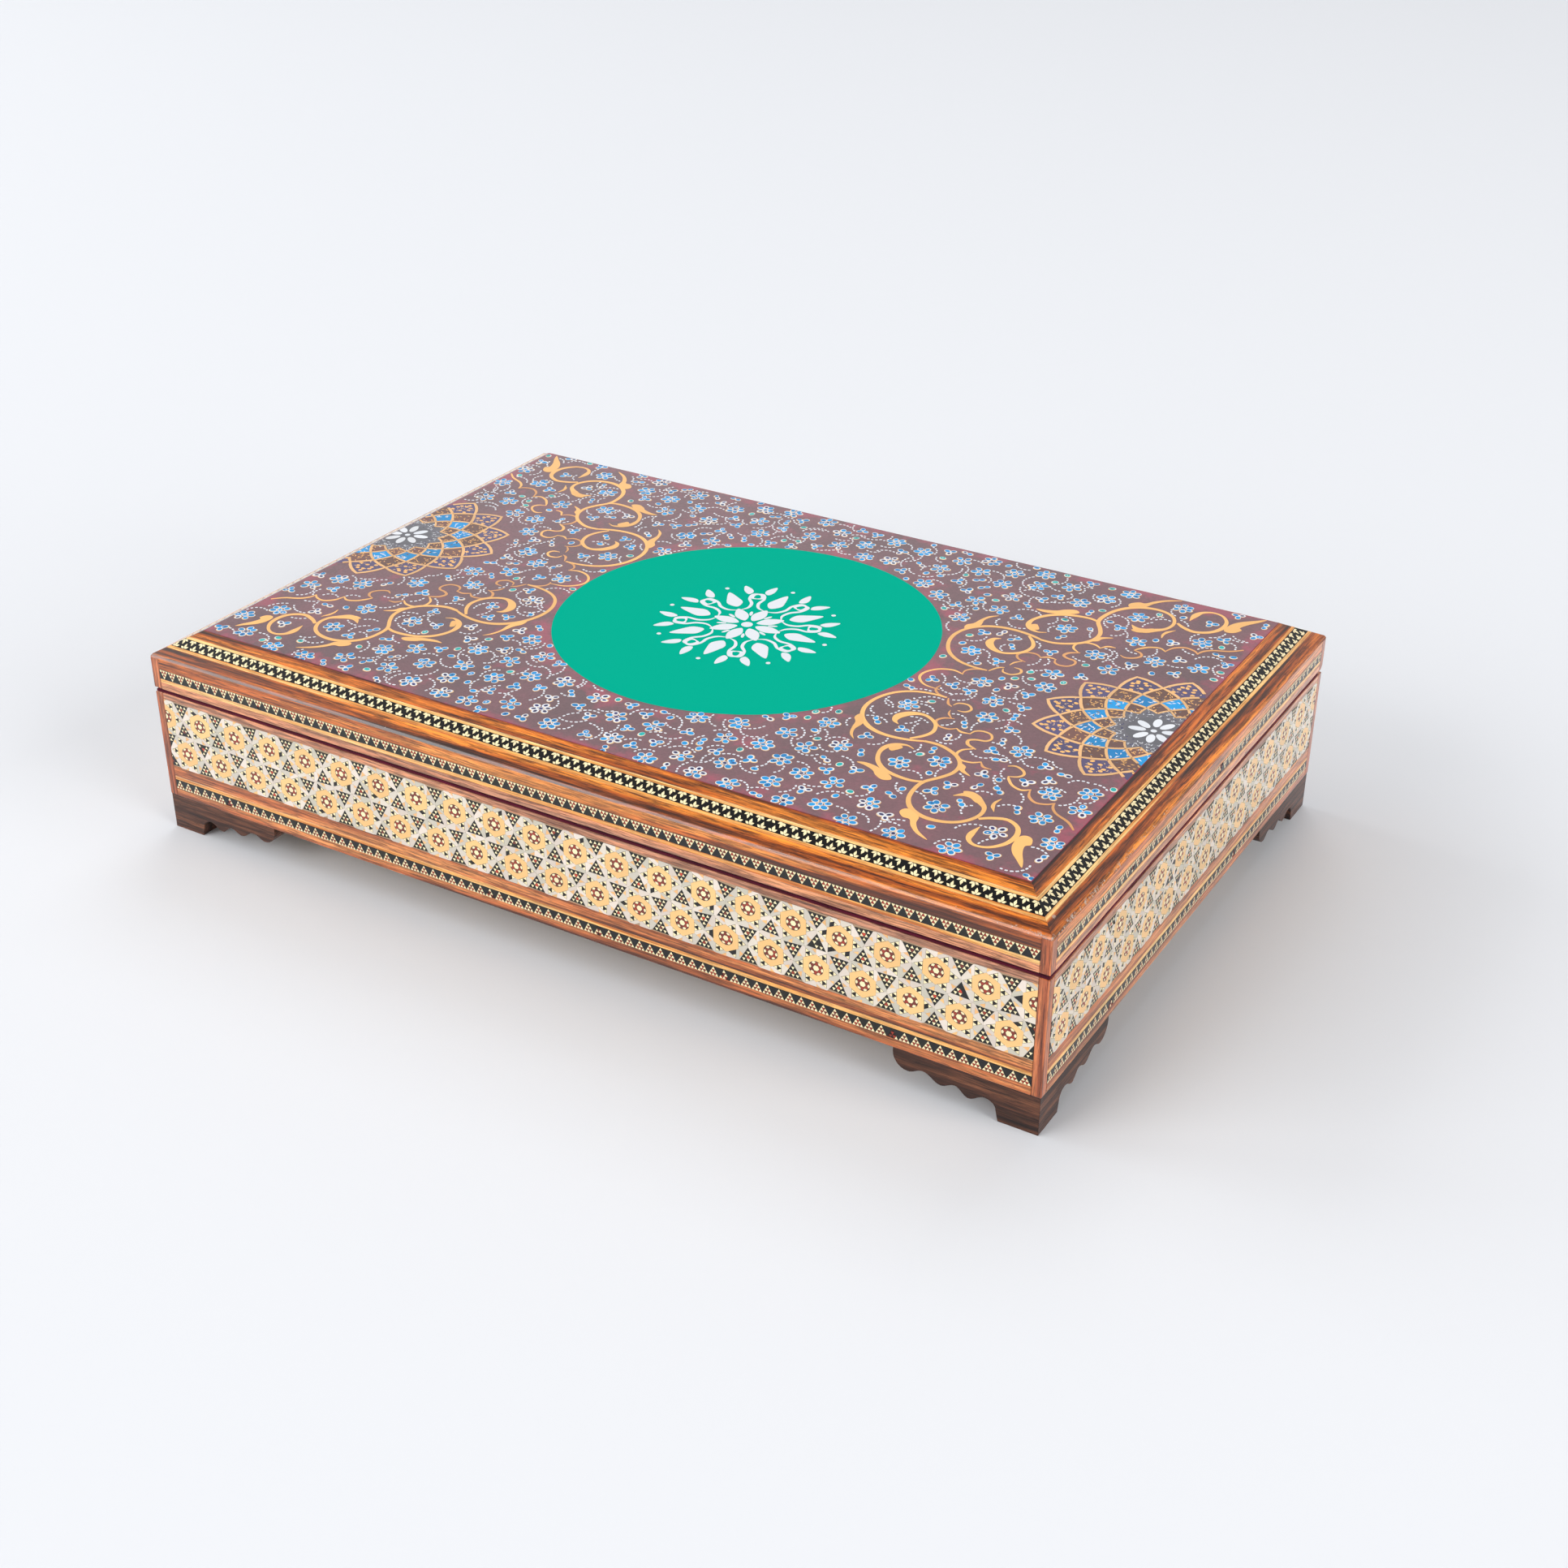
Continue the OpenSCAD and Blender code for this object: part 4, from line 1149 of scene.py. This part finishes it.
# the disc
t = Tiles("lid_disc", "lid", "painted_lacquer").at(on_lid)
r = np.random.default_rng(610)
wob = r.normal(0, 1, 8)
t.add([(DISC[0] + (DISC[2] + 0.12 * sum(wob[k] * math.sin((k + 2) * a + wob[k]) for k in range(8)) / 2) * math.cos(a),
        DISC[1] + (DISC[2] + 0.12 * sum(wob[k] * math.sin((k + 2) * a + wob[k]) for k in range(8)) / 2) * math.sin(a))
       for a in np.linspace(0, 2 * math.pi, 180, endpoint=False)], UNDER, 0.035, "disc_green")
t.build()

# a plain eight-fold rosette in white on the disc
t = Tiles("lid_rosette", "lid", "painted_lacquer").at(on_lid)
HR = 0.055
dc = np.array(DISC[:2])
for i in range(8):
    a = 45 * i

    def w_(pts):
        return rot(np.asarray(pts, float), a) + dc

    def wr(pts):
        p = np.asarray(pts, float)
        return np.c_[rot(p[:, :2], a) + dc, p[:, 2]]

    petal = smooth([(3.2, 0), (6.0, 2.0), (9.2, 1.9), (12.4, 0), (9.2, -1.9), (6.0, -2.0)], 6, closed=True)
    t.add(w_(petal), UNDER, HR, "paint_white_1")
    leaf = smooth([(14.2, 0), (17.0, 2.5), (20.4, 2.1), (25.6, 0), (20.4, -2.1), (17.0, -2.5)], 6, closed=True)
    t.add(w_(leaf), UNDER, HR, "paint_white_1")
    for sgn in (1, -1):
        t.ribbon(wr(smooth([(11.5, sgn * 0.6, 0.3), (12.6, sgn * 3.4, 0.9), (15.6, sgn * 5.2, 1.1), (19.4, sgn * 5.4, 1.0),
                            (22.4, sgn * 7.4, 0.9), (21.2, sgn * 9.8, 0.9), (18.4, sgn * 9.4, 1.1), (18.6, sgn * 7.4, 0.3)], 6)),
                 UNDER, HR - 0.004 * (2 + sgn) - 0.0004 * i, "paint_white_1")
        bud = smooth([(23.0, sgn * 5.9), (26.0, sgn * 5.2), (29.6, sgn * 6.4), (26.6, sgn * 8.0), (24.0, sgn * 7.8)], 5, closed=True)
        t.add(w_(bud), UNDER, HR, "paint_white_1")
    t.add(w_([(29.0 + 0.75 * math.cos(u), 0.75 * math.sin(u)) for u in np.linspace(0, 2 * math.pi, 12, endpoint=False)]), UNDER, HR, "paint_white_1")
    t.add(w_(rot([(8.4 + 1.6 * math.cos(u), 0.55 * math.sin(u)) for u in np.linspace(0, 2 * math.pi, 12, endpoint=False)], 22.5)),
          UNDER, HR, "paint_white_1")
t.add([(dc[0] + 1.9 * math.cos(u), dc[1] + 1.9 * math.sin(u)) for u in np.linspace(0, 2 * math.pi, 16, endpoint=False)], UNDER, HR, "paint_white_1")
t.build()

# flowers and dashed tendrils
SP = np.array(stroke_points)


def clear_at(x, y, radius):
    if abs(x) > PX - radius * 0.55 or abs(y) > PY - radius * 0.55:
        return False
    if math.hypot(x - DISC[0], y - DISC[1]) < DISC[2] + radius * 0.9:
        return False
    d = np.hypot(SP[:, 0] - x, SP[:, 1] - y) - SP[:, 2]
    return d.min() > radius


fr = np.random.default_rng(700)
placed = []


def scatter(count_try, radius, kind, gap_):
    xs = fr.uniform(-PX, PX, count_try)
    ys = fr.uniform(-PY, PY, count_try)
    for x, y in zip(xs, ys):
        if placed:
            q = np.array([(a, b, c) for a, b, c, _ in placed])
            if (np.hypot(q[:, 0] - x, q[:, 1] - y) < q[:, 2] + radius + gap_).any():
                continue
        if clear_at(x, y, radius * 0.92):
            placed.append((x, y, radius, kind))


scatter(2600, 3.6, "big", 2.3)
scatter(3200, 2.4, "three", 1.3)
scatter(2600, 1.95, "two", 1.3)
scatter(2600, 1.3, "one", 1.2)

flower_halves = [Tiles("lid_flowers_" + s, "lid", "painted_lacquer").at(on_lid) for s in ("left", "right")]


def oval(x, y, a, b, ang, n=12):
    us = np.linspace(0, 2 * math.pi, n, endpoint=False)
    return rot(np.c_[a * np.cos(us), b * np.sin(us)], ang) + (x, y)


def paint(poly, hi, mat):
    if (np.abs(poly[:, 0]) > PX).any() or (np.abs(poly[:, 1]) > PY).any():
        poly = clip(poly, -PX, PX, -PY, PY)
    if poly is not None:
        flower_halves[int(poly[:, 0].mean() > 0)].add(poly, UNDER, hi, mat)


def petal(x, y, ang, ln, wd, kind, lift=0.0):
    """One petal: a gold line that strays to one side, a white rim, a coloured heart and often a dark dot."""
    stray = fr.normal(0, 0.1, 2) + (0.08, -0.1)
    paint(oval(x + stray[0], y + stray[1], ln + 0.12, wd + 0.12, ang + fr.normal(0, 6)), H_OUT + lift, pick("paint_pale", fr))
    paint(oval(x, y, ln, wd, ang), H_RING + lift, pick("paint_white", fr))
    jx, jy = fr.normal(0, 0.07, 2)
    if kind == "white":
        paint(oval(x + jx, y + jy, ln * 0.58, wd * 0.52, ang), H_CORE + lift, pick("navy", fr))
        return
    k = fr.uniform(0.74, 0.83)
    paint(oval(x + jx, y + jy, ln * k, wd * k, ang), H_CORE + lift, pick(kind, fr))
    if fr.random() < 0.45:
        paint(oval(x + jx * 2, y + jy * 2, ln * 0.26, wd * 0.26, ang, 7), H_CORE + 0.008 + lift,
              pick("navy", fr) if fr.random() < 0.8 else pick("paint_white", fr))


def blossom(x, y, n, rad, ln, wd, white_share):
    a0 = fr.uniform(0, 360)
    for i in range(n):
        a = a0 + 360 / n * i + fr.normal(0, 5)
        d = rad * fr.uniform(0.94, 1.06)
        px, py = x + d * math.cos(math.radians(a)), y + d * math.sin(math.radians(a))
        k = fr.uniform(0.9, 1.08)
        petal(px, py, a + fr.normal(0, 8), ln * k, wd * k, "white" if fr.random() < white_share else "blue", 0.0008 * i)
    if n > 3:
        paint(oval(x, y, 0.95, 0.85, a0, 10), H_RING - 0.004, pick("paint_white", fr))
        paint(oval(x, y, 0.68, 0.6, a0, 9), H_CORE - 0.004, pick("navy" if fr.random() < 0.3 else "blue", fr))


for x, y, rad, kind in placed:
    pale = fr.random() < 0.16
    if kind == "big":
        blossom(x, y, int(fr.choice([5, 6, 6])), 2.32, 1.29, 1.05, 0.6 if pale else 0.04)
    elif kind == "three":
        blossom(x, y, 3, 1.3, 1.25, 0.99, 0.6 if pale else 0.16)
    elif kind == "two":
        blossom(x, y, 2, 1.14, 1.18, 0.94, 0.25)
    else:
        petal(x, y, fr.uniform(0, 360), 1.3, 1.02, "sea" if fr.random() < 0.6 else "blue")
for half_ in flower_halves:
    half_.build()

dashes = Tiles("lid_tendrils", "lid", "painted_lacquer").at(on_lid)
FL = np.array([(a, b, c) for a, b, c, _ in placed])
arcs = 0
for _ in range(5200):
    x, y = fr.uniform(-PX, PX), fr.uniform(-PY, PY)
    rad = fr.uniform(2.8, 6.2)
    a0, sweep = fr.uniform(0, 360), fr.uniform(70, 150)
    step = 1.5 / rad * 57.3
    n = min(8, int(sweep / step))
    if n < 4:
        continue
    pts = [(x + rad * math.cos(math.radians(a0 + k * step)), y + rad * math.sin(math.radians(a0 + k * step))) for k in range(n)]
    run = []
    for px, py in pts:
        if not (abs(px) < PX - 0.6 and abs(py) < PY - 0.6):
            break
        if math.hypot(px - DISC[0], py - DISC[1]) < DISC[2] + 0.8:
            break
        if (np.hypot(SP[:, 0] - px, SP[:, 1] - py) < SP[:, 2] - 0.35).any():
            break
        if (np.hypot(FL[:, 0] - px, FL[:, 1] - py) < FL[:, 2] + 0.15).any():
            break
        run.append((px, py))
    if len(run) < 4:
        continue
    arcs += 1
    for k, (px, py) in enumerate(run):
        a = a0 + k * step + 90 + fr.normal(0, 4)
        s = fr.uniform(0.85, 1.1)
        q = rot([(-0.48 * s, -0.17), (-0.32 * s, -0.30), (0.32 * s, -0.30), (0.48 * s, -0.17), (0.48 * s, 0.17), (0.32 * s, 0.30),
                 (-0.32 * s, 0.30), (-0.48 * s, 0.17)], a) + (px, py)
        dashes.add(q, UNDER, 0.03, pick("paint_white", fr))
    FL = np.r_[FL, [(px, py, 0.75) for px, py in run]]
    if arcs > 600:
        break
dashes.build()

# ----------------------------------------------------------- floor and light
me = bpy.data.meshes.new("floor")
me.from_pydata([(-7, -7, -0.00005), (7, -7, -0.00005), (7, 7, -0.00005), (-7, 7, -0.00005)], [], [(0, 1, 2, 3)])
floor = bpy.data.objects.new("floor", me)
bpy.context.scene.collection.objects.link(floor)
fn = Nodes("floor")
fco = fn.coord()
fn.set(Base_Color=(0.728, 0.742, 0.766, 1), Roughness=fn.range(fn.noise(fco, 60, 3), 0.3, 0.7, 0.85, 0.95),
       Specular_IOR_Level=0.1)
me.materials.append(MAT["floor"])

scene = bpy.context.scene
scene.view_settings.view_transform = "Standard"
world = bpy.data.worlds.new("studio")
world.use_nodes = True
wt = world.node_tree
sky = wt.nodes.new("ShaderNodeTexCoord")
sep = wt.nodes.new("ShaderNodeSeparateXYZ")
wt.links.new(sky.outputs["Generated"], sep.inputs[0])
grad = wt.nodes.new("ShaderNodeValToRGB")
stops = [(0.0, (0.90, 0.90, 0.92, 1)), (0.57, (0.92, 0.925, 0.95, 1)), (0.72, (0.42, 0.425, 0.44, 1)), (1.0, (0.30, 0.305, 0.32, 1))]
while len(grad.color_ramp.elements) < len(stops):
    grad.color_ramp.elements.new(0.5)
for el, (pos, col) in zip(grad.color_ramp.elements, stops):
    el.position, el.color = pos, col
wt.links.new(sep.outputs[2], grad.inputs[0])
wt.links.new(grad.outputs[0], wt.nodes["Background"].inputs[0])
dim = wt.nodes.new("ShaderNodeMapRange")   # the room is brighter on the left
wt.links.new(sep.outputs[0], dim.inputs[0])
for i, v in enumerate((-0.5, 0.35, 1.02, 0.46)):
    dim.inputs[i + 1].default_value = v
wt.links.new(dim.outputs[0], wt.nodes["Background"].inputs[1])
scene.world = world


def softbox(name, at, aim, size, watts, colour=(1, 1, 1)):
    d = bpy.data.lights.new(name, "AREA")
    d.shape = "RECTANGLE"
    d.size, d.size_y = size
    d.energy = watts
    d.color = colour
    o = bpy.data.objects.new(name, d)
    bpy.context.scene.collection.objects.link(o)
    o.location = at
    o.rotation_euler = (Vector(aim) - Vector(at)).to_track_quat("-Z", "Y").to_euler()
    return o


softbox("key", (-2.0, -3.1, 1.7), (0, 0, 0.03), (3.0, 2.2), 102)
softbox("left", (-3.3, -0.3, 1.7), (0, 0, 0), (2.2, 2.0), 48, (0.98, 0.99, 1.0))
softbox("back", (-0.9, 3.0, 4.0), (0, 0, 0), (3.0, 2.4), 62, (0.99, 0.99, 1.0))
softbox("right", (3.3, -0.3, 1.5), (0, 0, 0.03), (2.6, 2.2), 96, (1.0, 0.99, 0.98))

cd = bpy.data.cameras.new("camera")
cd.lens = 50.4325
cd.sensor_width = 36
cd.clip_start = 0.02
cam = bpy.data.objects.new("camera", cd)
cam.matrix_world = Matrix(((0.8565274, -0.25583841, 0.44822709, 0.34180588),
                           (0.51608906, 0.41853677, -0.74731457, -0.54461876),
                           (0.00359226, 0.8714205, 0.49052361, 0.37393234),
                           (0, 0, 0, 1)))
scene.collection.objects.link(cam)
scene.camera = cam
